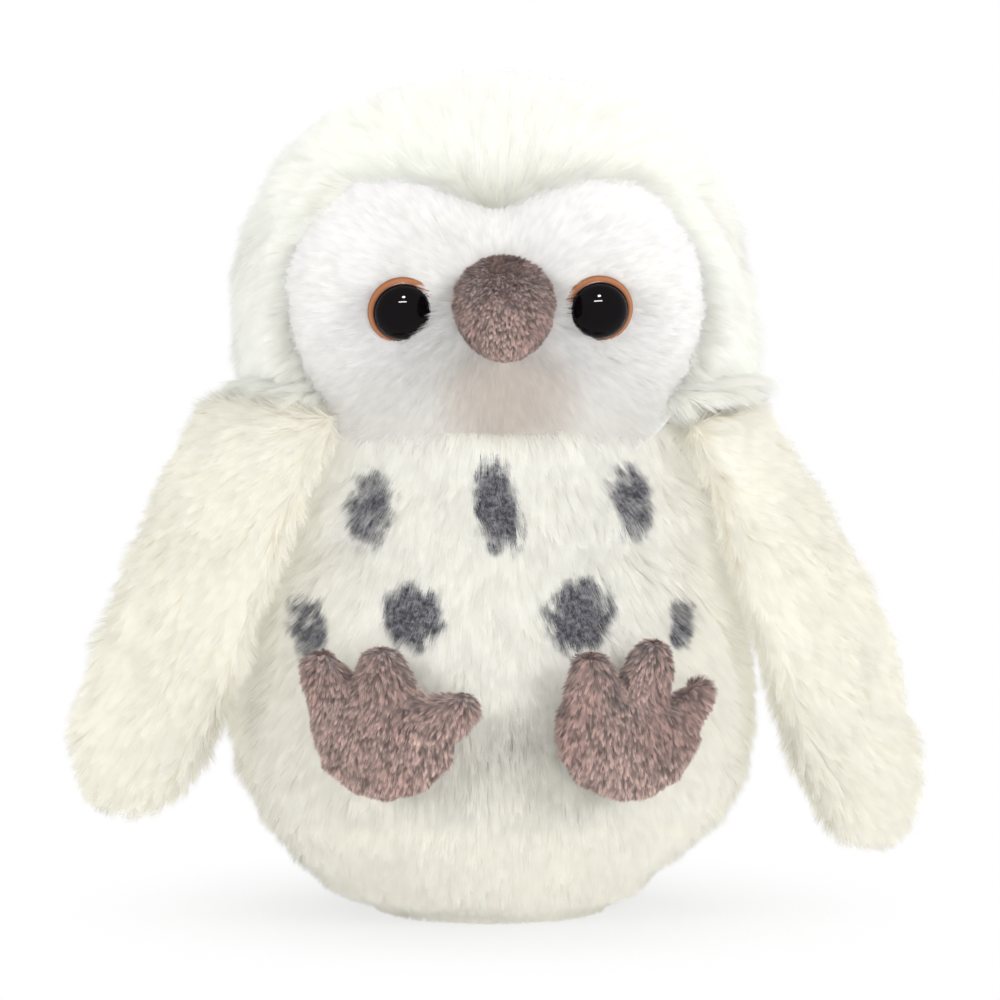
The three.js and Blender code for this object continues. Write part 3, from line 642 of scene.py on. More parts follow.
def plush(name, root, tip, tint, spread, spots=False, painted_chin_shade=False, sheen=0.25):
    """Plush pile: colour runs from a darker, warmer root to the tip, which is painted shade between the strands;
    it differs from strand to strand and drifts over the cloth.
    """
    finish, graph = new_finish(name)
    tone = strand_value(graph, "tone")
    # The darker, warmer roots are painted shade between the strands.
    colour = blend_colours(graph, strand_value(graph, "along"), srgb(*root), srgb(*tip))
    drift = graph.eased(noise(graph, 55.0), 0.38, 0.66)
    colour = blend_colours(graph, drift, colour, srgb(*tint))
    if spots:
        colour = blend_colours(graph, belly_middle(graph) * 0.5, colour, BELLY_COOL)
        dyed = (spot_mask(graph) * 2.0 - tone * 1.3).larger(0.0).smaller(1.0)
        streak = graph.eased(noise(graph, 1000.0), 0.43, 0.66)
        grey = blend_colours(graph, streak * 0.7 + (tone * 5.3) % 1.0 * 0.3, SPOT_DARK, SPOT_LIGHT)
        colour = blend_colours(graph, dyed, colour, grey)
    # Painted shade on the face pile: grey at its foot and a beige painted shadow under the beak.
    if painted_chin_shade:
        colour = paint_chin_shade(graph, colour)
    light = tone * spread + (1 - spread / 2)
    end_finish(graph, {
        "Base Color": blend_colours(graph, 1.0, colour, light, "MULTIPLY"), "Roughness": 0.85,
        "Sheen Weight": sheen, "Sheen Roughness": 0.6, "Specular IOR Level": 0.15})
    return finish


def backing(name, colour, shade):
    """The knitted backing cloth under the pile."""
    finish, graph = new_finish(name)
    knit = noise(graph, 900.0, 3.0)
    height = graph.result("ShaderNodeBump", {"Height": knit, "Distance": 0.0003, "Strength": 0.6})
    colour = blend_colours(graph, knit, srgb(*colour), srgb(*shade))
    end_finish(graph, {"Base Color": colour, "Roughness": 0.95, "Normal": height, "Specular IOR Level": 0.1})
    return finish


def iris_finish():
    """Amber plastic painted from behind: brown at the rim, warm orange towards the pupil."""
    finish, graph = new_finish("amber_plastic")
    stops = ((0.0, srgb(112, 66, 34)), (0.05, srgb(186, 116, 58)), (0.1, srgb(170, 98, 46)),
             (0.15, srgb(60, 30, 16)), (1.0, srgb(40, 20, 12)))
    colours = graph.result("ShaderNodeValToRGB", {"Fac": strand_value(graph, "ring")}, stops=stops)
    fleck = blend_colours(graph, Maths(graph, noise(graph, 1500.0, 3.0)) * 0.4, colours, srgb(150, 84, 40))
    end_finish(graph, {"Base Color": fleck, "Roughness": 0.3, "Coat Weight": 0.3, "Coat Roughness": 0.1})
    return finish


def pupil_finish():
    """Black plastic, with a little dust in its gloss."""
    finish, graph = new_finish("black_plastic")
    dust = graph.eased(noise(graph, 700.0, 4.0), 0.45, 0.8, 0.03, 0.07, "LINEAR")
    end_finish(graph, {"Base Color": srgb(8, 4, 7), "Roughness": dust, "Specular IOR Level": 0.1})
    return finish


# Each pile's first colour, its root, is darker and warmer than its tip: painted shade between the strands.
CREAM_PILE = plush("cream_pile", (238, 233, 215), (253, 252, 245), (249, 247, 237), 0.11)
HOOD_PILE = plush("hood_pile", (241, 240, 229), (254, 254, 251), (251, 252, 246), 0.11)
BELLY_PILE = plush("belly_pile", (232, 228, 214), (252, 251, 245), (247, 245, 236), 0.15, spots=True)
FACE_PILE = plush("face_pile", (236, 234, 230), (253, 253, 252), (249, 248, 248), 0.17, painted_chin_shade=True)
MAUVE_PILE = plush("mauve_pile", (82, 61, 62), (212, 186, 176), (172, 145, 138), 1.5, sheen=0.3)
WASHER = backing("washer_white", (232, 232, 228), (222, 222, 218))
CREAM_CLOTH = backing("cream_cloth", (247, 245, 237), (238, 234, 222))
FACE_CLOTH = backing("face_cloth", (246, 246, 246), (236, 236, 236))
MAUVE_CLOTH = backing("mauve_cloth", (150, 124, 122), (128, 104, 102))
IRIS = iris_finish()
PUPIL = pupil_finish()


def dress(piece, finish):
    piece.data.materials.clear()
    piece.data.materials.append(finish)
    return piece


# Head

def closed_curve(points, steps):
    """A smooth closed line through the points, with that many steps between two of them."""
    points = np.asarray(points, float)
    count = len(points)
    line = []
    for i in range(count):
        before, start, end, after = (points[(i + k) % count] for k in (-1, 0, 1, 2))
        for step in range(steps):
            t = step / steps
            square = (2 * before - 5 * start + 4 * end - after) * t ** 2
            cube = (3 * start - before - 3 * end + after) * t ** 3
            line.append(0.5 * (2 * start + (end - before) * t + square + cube))
    return np.array(line)


def face_outline():
    half = [(x * FACE_HALF_WIDTH, FACE_LEVEL + z * FACE_HALF_HEIGHT) for x, z in FACE_OUTLINE_SHARES]
    other = [(-x, z) for x, z in half[-2:0:-1]]
    return closed_curve(half + other, 10)


def face_distance(places):
    """How far outside the face's outline places are, seen from the front; negative inside."""
    start, end = OUTLINE, np.roll(OUTLINE, -1, axis=0)
    place = places[:, None, ::2]
    side = end - start
    share = np.clip(np.sum((place - start) * side, axis=2) / np.sum(side * side, axis=1), 0, 1)
    nearest = start + share[..., None] * side
    far = np.min(np.linalg.norm(place - nearest, axis=2), axis=1)
    above = (start[:, 1] > place[..., 1]) != (end[:, 1] > place[..., 1])
    rise = np.where(np.abs(side[:, 1]) < 1e-9, 1e-9, side[:, 1])
    crossing = start[:, 0] + (place[..., 1] - start[:, 1]) * side[:, 0] / rise
    inside = np.sum(above & (place[..., 0] < crossing), axis=1) % 2 == 1
    return np.where(inside, -far, far)


def neck_ball_level(x, y):
    across = np.minimum(np.hypot(x, y), NECK_BALL_RADIUS * 0.9)
    return NECK_BALL_LOWEST + NECK_BALL_RADIUS - np.sqrt(NECK_BALL_RADIUS ** 2 - across ** 2)


def head_front_depth(x, z):
    """How far in front of the axis the head's fur outline stands at a place seen from the front."""
    reach = np.where(z > HEAD_WIDE_LEVEL, HEAD_CROWN_RISE, HEAD_CHEEK_DROP)
    rise = np.abs(z - HEAD_WIDE_LEVEL) / reach
    left = 1 - rise ** HEAD_ROUNDNESS - (np.abs(x) / HEAD_HALF_WIDTH) ** HEAD_ROUNDNESS
    return HEAD_FRONT * np.maximum(left, 0) ** (1 / HEAD_ROUNDNESS)


OUTLINE = face_outline()


def hood_skin():
    """The head's cloth: the whole rounded block, rolled in where the face is sewn on."""
    points = []
    for row in range(1, HEAD_ROWS):
        share = math.sin(lerp(-math.pi / 2, math.pi / 2, row / HEAD_ROWS))
        swell = (1 - abs(share) ** HEAD_ROUNDNESS) ** (1 / HEAD_ROUNDNESS)
        level = HEAD_WIDE_LEVEL + share * (HEAD_CROWN_RISE if share > 0 else HEAD_CHEEK_DROP)
        for side in range(HEAD_SIDES):
            angle = 2 * math.pi * side / HEAD_SIDES
            across, along = math.cos(angle), math.sin(angle)
            depth = HEAD_FRONT if along < 0 else HEAD_BACK
            power = 2 / HEAD_ROUNDNESS
            points.append((HEAD_HALF_WIDTH * swell * math.copysign(abs(across) ** power, across),
                           depth * swell * math.copysign(abs(along) ** power, along), level))
    points = [*points, (0, 0, HEAD_WIDE_LEVEL - HEAD_CHEEK_DROP), (0, 0, HEAD_WIDE_LEVEL + HEAD_CROWN_RISE)]
    points = np.array(points)
    points[:, 2] = np.maximum(points[:, 2], neck_ball_level(points[:, 0], points[:, 1]))
    faces = quilt(HEAD_SIDES, HEAD_ROWS - 1, foot=len(points) - 2, crown=len(points) - 1)
    skin = mesh_piece("hood_cloth", points, faces)
    soften(skin, 2)
    points = points_of(skin)
    x, y, z = points.T
    far = face_distance(points)
    facing = smooth_step(-y, 2, 12)
    neck = smooth_step(-normals_of(skin)[:, 2], 0.3, 0.7)
    depth = LONG_DEPTH + CHEEK_FOOT_TUCK * (1 - smooth_step(z, 104, 126))
    shoulders = smooth_step(np.abs(x), 3, 13) * (1 - smooth_step(np.abs(x), 22, 36))
    points[:, 2] -= CROWN_ROUNDING * shoulders * smooth_step(z, 160, 176)
    put_points(skin, points)
    draw_in(skin, depth * (1 - neck))
    # Behind, the fold at the neck is drawn in towards the axis.
    points = points_of(skin)
    across = np.hypot(points[:, 0], points[:, 1])
    behind = smooth_step(points[:, 1], -25, 0)
    inward = depth * neck * behind * smooth_step(across, 25, 45) / np.maximum(across, 1)
    points[:, :2] -= inward[:, None] * points[:, :2]
    put_points(skin, points)
    rumple(skin, *BODY_SWELL)
    # The seams of the hood's back panel, the roll round the face and the shift of the cheeks.
    points = points_of(skin)
    x, y, z = points.T
    seam = np.minimum(np.abs(y - HEAD_BACK_SEAM), np.abs(x) + OUT_OF_REACH * (y > HEAD_BACK_SEAM))
    points = points - seam_furrow(seam, HOOD_SEAM_WIDTH, HOOD_SEAM_DEPTH)[:, None] * normals_of(skin)
    rolled = 1 - smooth_step(far, -HOOD_ROLL_WIDTH, HOOD_ROLL_WIDTH)
    points[:, 1] += rolled * facing * HOOD_ROLL_DEPTH
    cheeks = smooth_step(np.abs(points[:, 0]), 40, 52) * (1 - smooth_step(points[:, 2], 124, 140))
    points[:, 0] += CHEEK_SHIFT * cheeks
    put_points(skin, points)
    soften(skin, 1)
    return dress(skin, CREAM_CLOTH)


def face_skin():
    """The short-pile disc: two soft lobes with a furrow between them above the beak."""
    middle = np.array([0, FACE_LEVEL - 1.0])
    count = len(OUTLINE)
    spokes = np.array([OUTLINE[int(i * count / FACE_SPOKES)] for i in range(FACE_SPOKES)])
    points = [(*middle, 0)]
    for ring in range(1, FACE_RINGS + 1):
        share = 1.05 * ring / FACE_RINGS
        points += [(*(middle + (spoke - middle) * share), share) for spoke in spokes]
    points = np.array(points)
    x, z = points[:, 0], points[:, 1]
    inside = -face_distance(np.stack([x, x, z], axis=1))
    sink = FACE_SINK + (FACE_RIM_SINK - FACE_SINK) * (1 - smooth_step(inside, -1, FACE_RIM_WIDTH))
    above = smooth_step(z, FACE_LEVEL + 4, FACE_LEVEL + 18)
    sink = sink + FURROW_DEPTH * np.exp(-(x / FURROW_HALF_WIDTH) ** 2) * above
    depth = head_front_depth(x, np.maximum(z, neck_ball_level(x, 40)))
    points = np.stack([x, sink - depth, z], axis=1)
    piece = mesh_piece("face_cloth", points, quilt(FACE_SPOKES, FACE_RINGS, first=1, foot=0))
    wall = piece.modifiers.new("wall", "SOLIDIFY")
    wall.thickness = FACE_WALL * MM
    wall.offset = -1
    settle(piece)
    piece.data.shade_smooth()
    return dress(piece, FACE_CLOTH)


# Bodies: the stuffed skins

def seam_furrow(distance, width, depth):
    """How deep a seam's stitches pull the cloth in at some distance from it."""
    return depth * np.exp(-(distance / width) ** 2)


def torso_skin():
    """The torso's cloth: drawn in under its pile, but not where the head sits, and pulled in along its seams."""
    nodes = ("belly_panel", "back_left_panel", "back_right_panel", "seat_panel", "torso_stuffing",
             "pellet_pouch")
    skin = stuffed("torso_cloth", nodes, voxel=1.6, rounds=12)
    x, y, z = points_of(skin).T
    dish = smooth_step(normals_of(skin)[:, 2], 0.1, 0.5) * (z > 90)
    rim = smooth_step(z, 96, 110)
    floor = 0.45 * smooth_step(z, 0.2, 2) + 0.55 * smooth_step(z, 2, 14)
    draw_in(skin, LONG_DEPTH * (1 - dish) * (1 - 0.5 * rim) * floor)
    rumple(skin, *BODY_SWELL)
    points = points_of(skin)
    x, y, z = points.T
    middle = (1 - smooth_step(np.abs(x), 18, 36)) * (y < 0)
    pull = seam_furrow(z - SEAT_CREASE_LEVEL, SEAM_WIDTH, CREASE_DEPTH) * middle
    low = OUT_OF_REACH * (z < SEAT_SEAM_LEVEL)
    for distance in (np.abs(y - SIDE_SEAM) + low, np.abs(x) + OUT_OF_REACH * (y < 0) + low):
        pull = np.maximum(pull, seam_furrow(distance, SEAM_WIDTH, SEAM_DEPTH))
    points = points - pull[:, None] * normals_of(skin)
    foot = 1 - smooth_step(points[:, 2], 10, 26)
    points[:, 0] -= SEAT_RIGHT_TUCK * smooth_step(points[:, 0], 15, 42) * foot
    points[:, 2] = np.maximum(points[:, 2], LOWEST_CLOTH)
    put_points(skin, points)
    return dress(skin, CREAM_CLOTH)


def wing_skin(side):
    """A wing's cloth: fuller where its stuffing has settled, and raised at its shoulder."""
    nodes = (f"wing_{side}_front_panel", f"wing_{side}_back_panel", f"wing_{side}_stuffing")
    skin = stuffed(f"wing_{side}_cloth", nodes, voxel=1.3, rounds=6)
    points = points_of(skin)
    top = points[:, 2].max()
    way = -1 if side == "left" else 1
    outward = np.maximum(normals_of(skin)[:, 0] * way, 0)
    points[:, 0] += np.interp(points[:, 2], *zip(*WING_FULLNESS[side])) * outward * way
    points[:, 2] = top - (top - points[:, 2]) * WING_DROP[side]
    points[:, 2] += WING_SHOULDER_RISE[side] * smooth_step(points[:, 2], top - 20, top)
    put_points(skin, points)
    soften(skin, 2)
    points = points_of(skin)
    top = points[:, 2].max()
    root = smooth_step(points[:, 2], top - 14, top)
    draw_in(skin, WING_DEPTH * (1 - 0.6 * root))
    rumple(skin, *WING_SWELL)
    return dress(skin, CREAM_CLOTH)


def foot_skin(side):
    """A foot's cloth, with its heel a little raised."""
    nodes = (f"foot_{side}_sole", f"foot_{side}_upper", f"foot_{side}_stuffing")
    skin = stuffed(f"foot_{side}_cloth", nodes, voxel=0.8, rounds=4)
    points = points_of(skin)
    heel = points[:, 2].min()
    points[:, 2] += FOOT_HEEL_RISE * (1 - smooth_step(points[:, 2], heel, heel + 22))
    put_points(skin, points)
    draw_in(skin, FOOT_DEPTH)
    rumple(skin, *FOOT_SWELL)
    return dress(skin, MAUVE_CLOTH)


def beak_skin():
    """The beak's cloth, a little wider and lower at its crown than its frame."""
    nodes = ("beak_top_panel", "beak_under_panel", "beak_stuffing")
    skin = stuffed("beak_cloth", nodes, voxel=0.7, rounds=3)
    points = points_of(skin)
    middle = (points.min(axis=0) + points.max(axis=0)) / 2
    points[:, 0] = middle[0] + (points[:, 0] - middle[0]) * BEAK_WIDENING + BEAK_LEAN
    points[:, 2] -= BEAK_CROWN_DROP * smooth_step(points[:, 2], middle[2], middle[2] + 12)
    put_points(skin, points)
    draw_in(skin, BEAK_DEPTH)
    return dress(skin, MAUVE_CLOTH)


# Lay of the pile

def whole(points):
    return np.ones(len(points))


def lay_towards(*way):
    return lambda points: np.tile(way, (len(points), 1))


def lay_along(skin, side):
    """Down a wing, from its root to its tip, and outwards over its shoulder."""
    points = points_of(skin)
    top = points[:, 2].max()
    order = np.argsort(points[:, 2])
    tenth = len(order) // 10
    run = unit((points[order[:tenth]].mean(axis=0) - points[order[-tenth:]].mean(axis=0))[None])
    over = unit(np.array([[-0.9 if side == "left" else 0.9, 0.25, -0.6]]))
    return lambda points: lerp(run, over, smooth_step(points[:, 2], top - 30, top - 8)[:, None])


def lay_hood(points):
    """Away from the face in front, back over the crown, and down the sides and the back."""
    away = points - np.array([0, 0, FACE_LEVEL])
    away[:, 1] = 0
    front = smooth_step(-points[:, 1], -5, 25)[:, None]
    crown = smooth_step(points[:, 2], 145, 168)[:, None]
    fall = lerp(np.array([[0, 0.1, -1.0]]), np.array([[0, 1.0, -0.4]]), crown)
    lay = unit(unit(away) * front + fall * (1.3 - front)) * (1 + HOOD_FRONT_SLEEK * front)
    hang = np.stack([-0.3 * points[:, 0] / HEAD_HALF_WIDTH, -0.5 * points[:, 1] / HEAD_FRONT,
                     -np.ones(len(points))], axis=1)
    return lerp(unit(hang), lay, smooth_step(points[:, 2], 100, 124)[:, None])


def share_hood(points):
    """The pile is clipped shorter round the face, and is short where the hood turns in to the neck."""
    far = face_distance(points)
    front = smooth_step(-points[:, 1], 0, 15)
    rim = 1 - 0.3 * front * (1 - smooth_step(far, 2, 12))
    over_neck = points[:, 2] - neck_ball_level(points[:, 0], points[:, 1])
    turned_in = (1 - smooth_step(over_neck, 1, 8)) * smooth_step(points[:, 1], -5, 15)
    return rim * (1 - 0.4 * turned_in) * (1 + 0.35 * front)


def lay_face(points):
    """Away from the middle of the face, flatter at its rim."""
    away = points - np.array([0, 0, FACE_LEVEL - 2])
    away[:, 1] = 0
    rim = smooth_step(-face_distance(points), 0, 6)[:, None]
    return unit(away) * lerp(0.8, 1 + FACE_SLEEK, rim)


def toe_pile(skin):
    """The pile's lay, away from the three toes' tips and down over the palm, and its share of the length."""
    own = points_of(skin)
    edges = np.linspace(own[:, 0].min(), own[:, 0].max(), 4)
    tips = []
    for low, high in zip(edges[:-1], edges[1:]):
        third = own[(own[:, 0] >= low) & (own[:, 0] <= high)]
        tips.append(third[third[:, 2].argmax()])

    def from_tips(points):
        away = points[:, None, :] - np.array(tips)[None]
        return away, np.linalg.norm(away, axis=2, keepdims=True)

    def lay(points):
        away, far = from_tips(points)
        weight = 1 / (far + 0.5) ** 3
        mean = np.sum(weight * away / (far + 0.5), axis=1) / np.sum(weight, axis=1)
        return unit(mean + np.array([0, 0, -0.3]))

    def share(points):
        nearest = np.min(from_tips(points)[1][..., 0], axis=1)
        return 1 - 0.5 * np.exp(-(nearest / 3.5) ** 2)
    return lay, share


def bake_place(skin, around=False):
    """Where a strand lies on the OFBake map: by level, and by place from the front or angle about the axis."""
    low, high = points_of(skin).min(axis=0), points_of(skin).max(axis=0)

    def place(points):
        if around:
            across = np.arctan2(points[:, 0], -points[:, 1]) / (2 * math.pi) + 0.5
        else:
            across = (points[:, 0] - low[0]) / (high[0] - low[0])
        level = (points[:, 2] - low[2]) / (high[2] - low[2])
        return np.stack([0.02 + 0.95 * across, 0.02 + 0.95 * level, np.zeros(len(points))], axis=1)
    return place


# Each plush: fibres a square metre, their length, width and lean in metres and radians, how much they stray,
# how much their lay swirls and over what size, tufts a square metre, how much a tuft pulls its fibres together
# and how much of their tone they share.
LOOKS = {
    "long": (17e6, 0.0066, 0.00019, 0.78, 0.2, 0.7, 95.0, 0.4e6, 0.6, 0.75),
    "hood": (17e6, 0.0078, 0.00019, 0.95, 0.2, 0.6, 95.0, 0.4e6, 0.6, 0.75),
    "wing": (20e6, 0.0056, 0.00018, 0.8, 0.2, 0.65, 105.0, 0.4e6, 0.6, 0.75),
    "face": (26e6, 0.0036, 0.00015, 0.85, 0.25, 0.6, 130.0, 1.1e6, 0.6, 0.7),
    "foot": (48e6, 0.0026, 0.00016, 1.0, 0.25, 0.7, 220.0, 2.6e6, 0.85, 0.85),
    "beak": (60e6, 0.0015, 0.00013, 0.75, 0.35, 1.0, 420.0, 2.8e6, 0.9, 0.85),
}


def settle_piece(piece, body, slot, *nodes, fill=None):
    """Attaches a finished piece to the body that it rides on, and hides the CAD nodes that it stands for; what
    it is made of (slot) is not used.
    """
    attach(piece, body)
    if nodes:
        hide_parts(*nodes)


def grow_torso(skin):
    def shown(places, facing):
        x, y, z = places.T
        inside_dish = (facing[:, 2] > 0.6) & (z > 90) & (np.hypot(x, y) < 42)
        underneath = (z < 3) & (facing[:, 2] < -0.8)
        return ~inside_dish & ~underneath

    def seat(places, facing):
        return shown(places, facing) & (places[:, 2] <= SEAT_CREASE_LEVEL)

    def upper(places, facing):
        return shown(places, facing) & (places[:, 2] > SEAT_CREASE_LEVEL)

    def belly(places, facing):
        return upper(places, facing) & (places[:, 1] < SIDE_SEAM)

    def back(side):
        return lambda places, facing: (upper(places, facing) & (places[:, 1] >= SIDE_SEAM)
                                       & (places[:, 0] * side >= 0))

    def share(places):
        return lerp(0.45, 1.0, smooth_step(places[:, 2], 2, 14))

    rows = (("belly", belly, BELLY_PILE, "belly_plush"), ("back_left", back(-1), CREAM_PILE, "cream_plush"),
            ("back_right", back(1), CREAM_PILE, "cream_plush"), ("seat", seat, CREAM_PILE, "cream_plush"))
    for seed, (name, chosen, finish, slot) in enumerate(rows):
        place = bake_place(skin, around=name != "belly")
        pile = sow(f"{name}_pile", skin, chosen, lay_towards(0.0, 0.0, -1.0), share, place, "long",
                   finish, SEEDS["torso"] + seed)
        settle_piece(pile, "torso", slot, f"{name}_panel")
    settle_piece(skin, "torso", "cream_plush", "torso_stuffing", "pellet_pouch", fill=0.75)


def eye_place(side):
    """Where an eye sits on the face, and the way that it looks."""
    middles = []
    for node in (f"lock_washer_{side}", f"pupil_{side}"):
        low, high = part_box(node)
        middles.append((np.array(low) + np.array(high)) / (2 * MM))
    washer, pupil = middles
    pupil = pupil + np.array(EYE_PUSH[side])
    axis = unit((pupil - washer)[None])[0]
    return pupil - axis * PUPIL_MIDDLE, axis


def grow_head(hood, face):
    def shown(places, facing):
        far = face_distance(places)
        on_face = (far < -2) & (places[:, 1] < 0)
        on_neck = (facing[:, 2] < -0.7) & (np.hypot(places[:, 0], places[:, 1]) < 36)
        return ~on_face & ~on_neck

    def side(sign):
        return lambda places, facing: (shown(places, facing) & (places[:, 0] * sign >= 0)
                                       & (places[:, 1] <= HEAD_BACK_SEAM))

    def back(places, facing):
        return shown(places, facing) & (places[:, 1] > HEAD_BACK_SEAM)

    place = bake_place(hood, around=True)
    for seed, (name, chosen) in enumerate((("left", side(-1)), ("right", side(1)), ("back", back))):
        pile = sow(f"hood_{name}_pile", hood, chosen, lay_hood, share_hood, place, "hood", HOOD_PILE,
                   SEEDS["hood"] + seed)
        settle_piece(pile, "head", "cream_plush", f"hood_{name}_panel")
    settle_piece(hood, "head", "cream_plush", "head_stuffing", fill=0.8)

    seats = [eye_place(side)[0] for side in ("left", "right")]

    def from_eye(places):
        return np.min([np.hypot(places[:, 0] - seat[0], places[:, 2] - seat[2]) for seat in seats], axis=0)

    def on_disc(places, facing):
        far = face_distance(places)
        return (facing[:, 1] < 0) & (far < 0.5) & (from_eye(places) > IRIS_RADIUS - 0.9)

    def share_round_eyes(places):
        near = 1 - smooth_step(from_eye(places), IRIS_RADIUS, IRIS_RADIUS + 3)
        inward = np.where(places[:, 0] < 0, places[:, 0] - seats[0][0], seats[1][0] - places[:, 0])
        nose_side = smooth_step(inward, 1, 6)
        rim = smooth_step(-face_distance(places), 0, 6)
        return (1 - near * lerp(0.6, -0.2, nose_side)) * lerp(0.75, 1.2, rim)

    pile = sow("face_pile", face, on_disc, lay_face, share_round_eyes, bake_place(face), "face", FACE_PILE,
               SEEDS["face"])
    settle_piece(pile, "head", "face_plush")
    settle_piece(face, "head", "face_plush", "face_panel", fill=0.7)


def grow_beak(skin):
    place = bake_place(skin)
    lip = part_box("beak_under_panel")[1][2] / MM

    def part(above):
        return lambda places, facing: ((places[:, 2] > lip) == above) & (places[:, 1] < -38)

    for name, above in (("beak_top", True), ("beak_under", False)):
        pile = sow(f"{name}_pile", skin, part(above), lay_towards(0.0, -0.3, -1.0), whole, place, "beak",
                   MAUVE_PILE, SEEDS["beak"] + above)
        settle_piece(pile, "head", "mauve_plush", f"{name}_panel")
    settle_piece(skin, "head", "mauve_plush", "beak_stuffing", fill=0.8)


def grow_limb(kind, side, skin, front, panels, lay, share, finish, slot, fill):
    """A wing's or a foot's pile: one panel on the side that looks the way of front, and one behind."""
    place = bake_place(skin)
    for (panel, node), sign in zip(panels, (1, -1)):
        def chosen(places, facing, sign=sign):
            return facing @ front * sign > 0
        pile = sow(f"{kind}_{side}_{panel}_pile", skin, chosen, lay, share, place, kind, finish,
                   SEEDS[kind] + sign)
        settle_piece(pile, f"{side}_{kind}", slot, f"{kind}_{side}_{node}")
    settle_piece(skin, f"{side}_{kind}", slot, f"{kind}_{side}_stuffing", fill=fill)


def face_of_wing(skin):
    """The way a wing's front looks: the thinnest direction of its form, turned forwards."""
    points = points_of(skin)
    spread = np.linalg.eigh(np.cov((points - points.mean(axis=0)).T))[1][:, 0]
    return spread if spread[1] < 0 else -spread


def grow_wing(side, skin):
    panels = (("front", "front_panel"), ("back", "back_panel"))
    grow_limb("wing", side, skin, face_of_wing(skin), panels, lay_along(skin, side), whole,
              CREAM_PILE, "cream_plush", fill=0.5)


def grow_foot(side, skin):
    panels = (("sole", "sole"), ("upper", "upper"))
    grow_limb("foot", side, skin, np.array([0, -1.0, 0]), panels, *toe_pile(skin),
              MAUVE_PILE, "mauve_plush", fill=0.6)


# Eyes

def turned(name, origin, axis, profile, sides=96):
    """A round piece from (along, radius) places, turned about an axis, with its radius kept as a share."""
    axis = Vector(axis).normalized()
    across = axis.orthogonal().normalized()
    up = axis.cross(across)
    largest = max(radius for _, radius in profile)
    points, rings = [], []
    for along, radius in profile:
        for side in range(sides):
            angle = 2 * math.pi * side / sides
            spoke = across * math.cos(angle) + up * math.sin(angle)
            points.append(tuple(Vector(origin) + axis * along + spoke * radius))
            rings.append(1 - radius / largest)
    piece = mesh_piece(name, points, quilt(sides, len(profile)))
    mark(piece.data, "ring", "FLOAT", rings)
    with reshaped(piece.data) as shape:
        bmesh.ops.remove_doubles(shape, verts=shape.verts, dist=0.001 * MM)
        bmesh.ops.recalc_face_normals(shape, faces=shape.faces)
    return piece


def build_eye(side):
    seat, axis = eye_place(side)
    iris = [(-11, 0), (-11, 1.9), (-9.5, 2.1), (-1, 2.1), (-1, IRIS_RADIUS - 0.5), (-0.8, IRIS_RADIUS - 0.1),
            (-0.3, IRIS_RADIUS), (0.1, IRIS_RADIUS - 0.2), (0.5, IRIS_RADIUS - 0.6), (0.8, IRIS_RADIUS - 1.0),
            (0.9, PUPIL_RADIUS + 0.15), (0.6, PUPIL_RADIUS), (0.4, 0)]
    edge = PUPIL_RADIUS - 0.05
    dome = [(0.5, 0), (0.5, PUPIL_RADIUS - 0.3), (0.8, edge)]
    dome += [(1.0 + PUPIL_RISE * math.sin(a), edge * math.cos(a)) for a in np.linspace(0, math.pi / 2, 28)]
    rows = (("iris", iris, IRIS, "amber_plastic"), ("pupil", dome, PUPIL, "black_plastic"))
    for part, profile, finish, slot in rows:
        piece = dress(turned(f"{part}_{side}_dome", seat, axis, profile), finish)
        settle_piece(piece, "head", slot, f"{part}_{side}")


# Floor, lights and camera

WHITE = (1, 1, 1, 1)
FLOOR_HALF_SIZE = 6.0
WORLD_LIGHT = 0.55
# Lamps: name, place, aim, side lengths in metres, power in watts.
LAMPS = (
    ("right_softbox", (1.15, -0.8, 0.7), (0, 0, 0.1), 0.6, 0.6, 8.0),
    ("left_softbox", (-1.15, -0.8, 0.6), (0, 0, 0.1), 0.6, 0.6, 5.2),
    ("top_softbox", (0.1, -0.1, 1.2), (0, 0, 0.1), 0.8, 0.8, 2.2),
    ("low_softbox", (0.0, -1.2, 0.1), (0, 0, 0.03), 0.8, 0.2, 1.35),
)
# Small lamps that only the eyes' plastic mirrors: name, place, aim, side lengths in metres, power in watts.
GLINTS = (
    ("round_glint", (0.17, -1.06, 0.68), (0, 0, 0.13), 0.17, 0.17, 14.0),
    ("bar_glint", (0.12, -1.18, 0.35), (0, 0, 0.13), 0.42, 0.07, 12.0),
)


def rays_of(graph, *kinds):
    """1 for a ray of any of these kinds, or else 0."""
    outputs = graph.node("ShaderNodeLightPath").outputs
    first, *others = (Maths(graph, outputs[f"Is {kind} Ray"]) for kind in kinds)
    for other in others:
        first = first.larger(other)
    return first


def build_floor():
    """A white floor that catches a soft shadow, and is plain white to the camera and the eyes farther out."""
    mesh = bpy.data.meshes.new("floor")
    corners = [(x * FLOOR_HALF_SIZE, y * FLOOR_HALF_SIZE, 0) for x, y in ((-1, -1), (1, -1), (1, 1), (-1, 1))]
    mesh.from_pydata(corners, [], [(0, 1, 2, 3)])
    floor = show("floor", mesh)
    finish, graph = new_finish("floor_white")
    sockets = {"Base Color": srgb(248, 248, 248), "Roughness": 0.8}
    plain = graph.result("ShaderNodeBsdfPrincipled", sockets)
    white = graph.result("ShaderNodeEmission", {"Color": WHITE, "Strength": 1.0})
    x, y, _ = object_places(graph)
    seen = rays_of(graph, "Camera", "Glossy") * graph.eased((x * x + y * y) ** 0.5, 30.0, 100.0, least=0.7)
    mix = graph.result("ShaderNodeMixShader", {0: seen, 1: plain, 2: white})
    graph.node("ShaderNodeOutputMaterial", {"Surface": mix})
    dress(floor, finish)


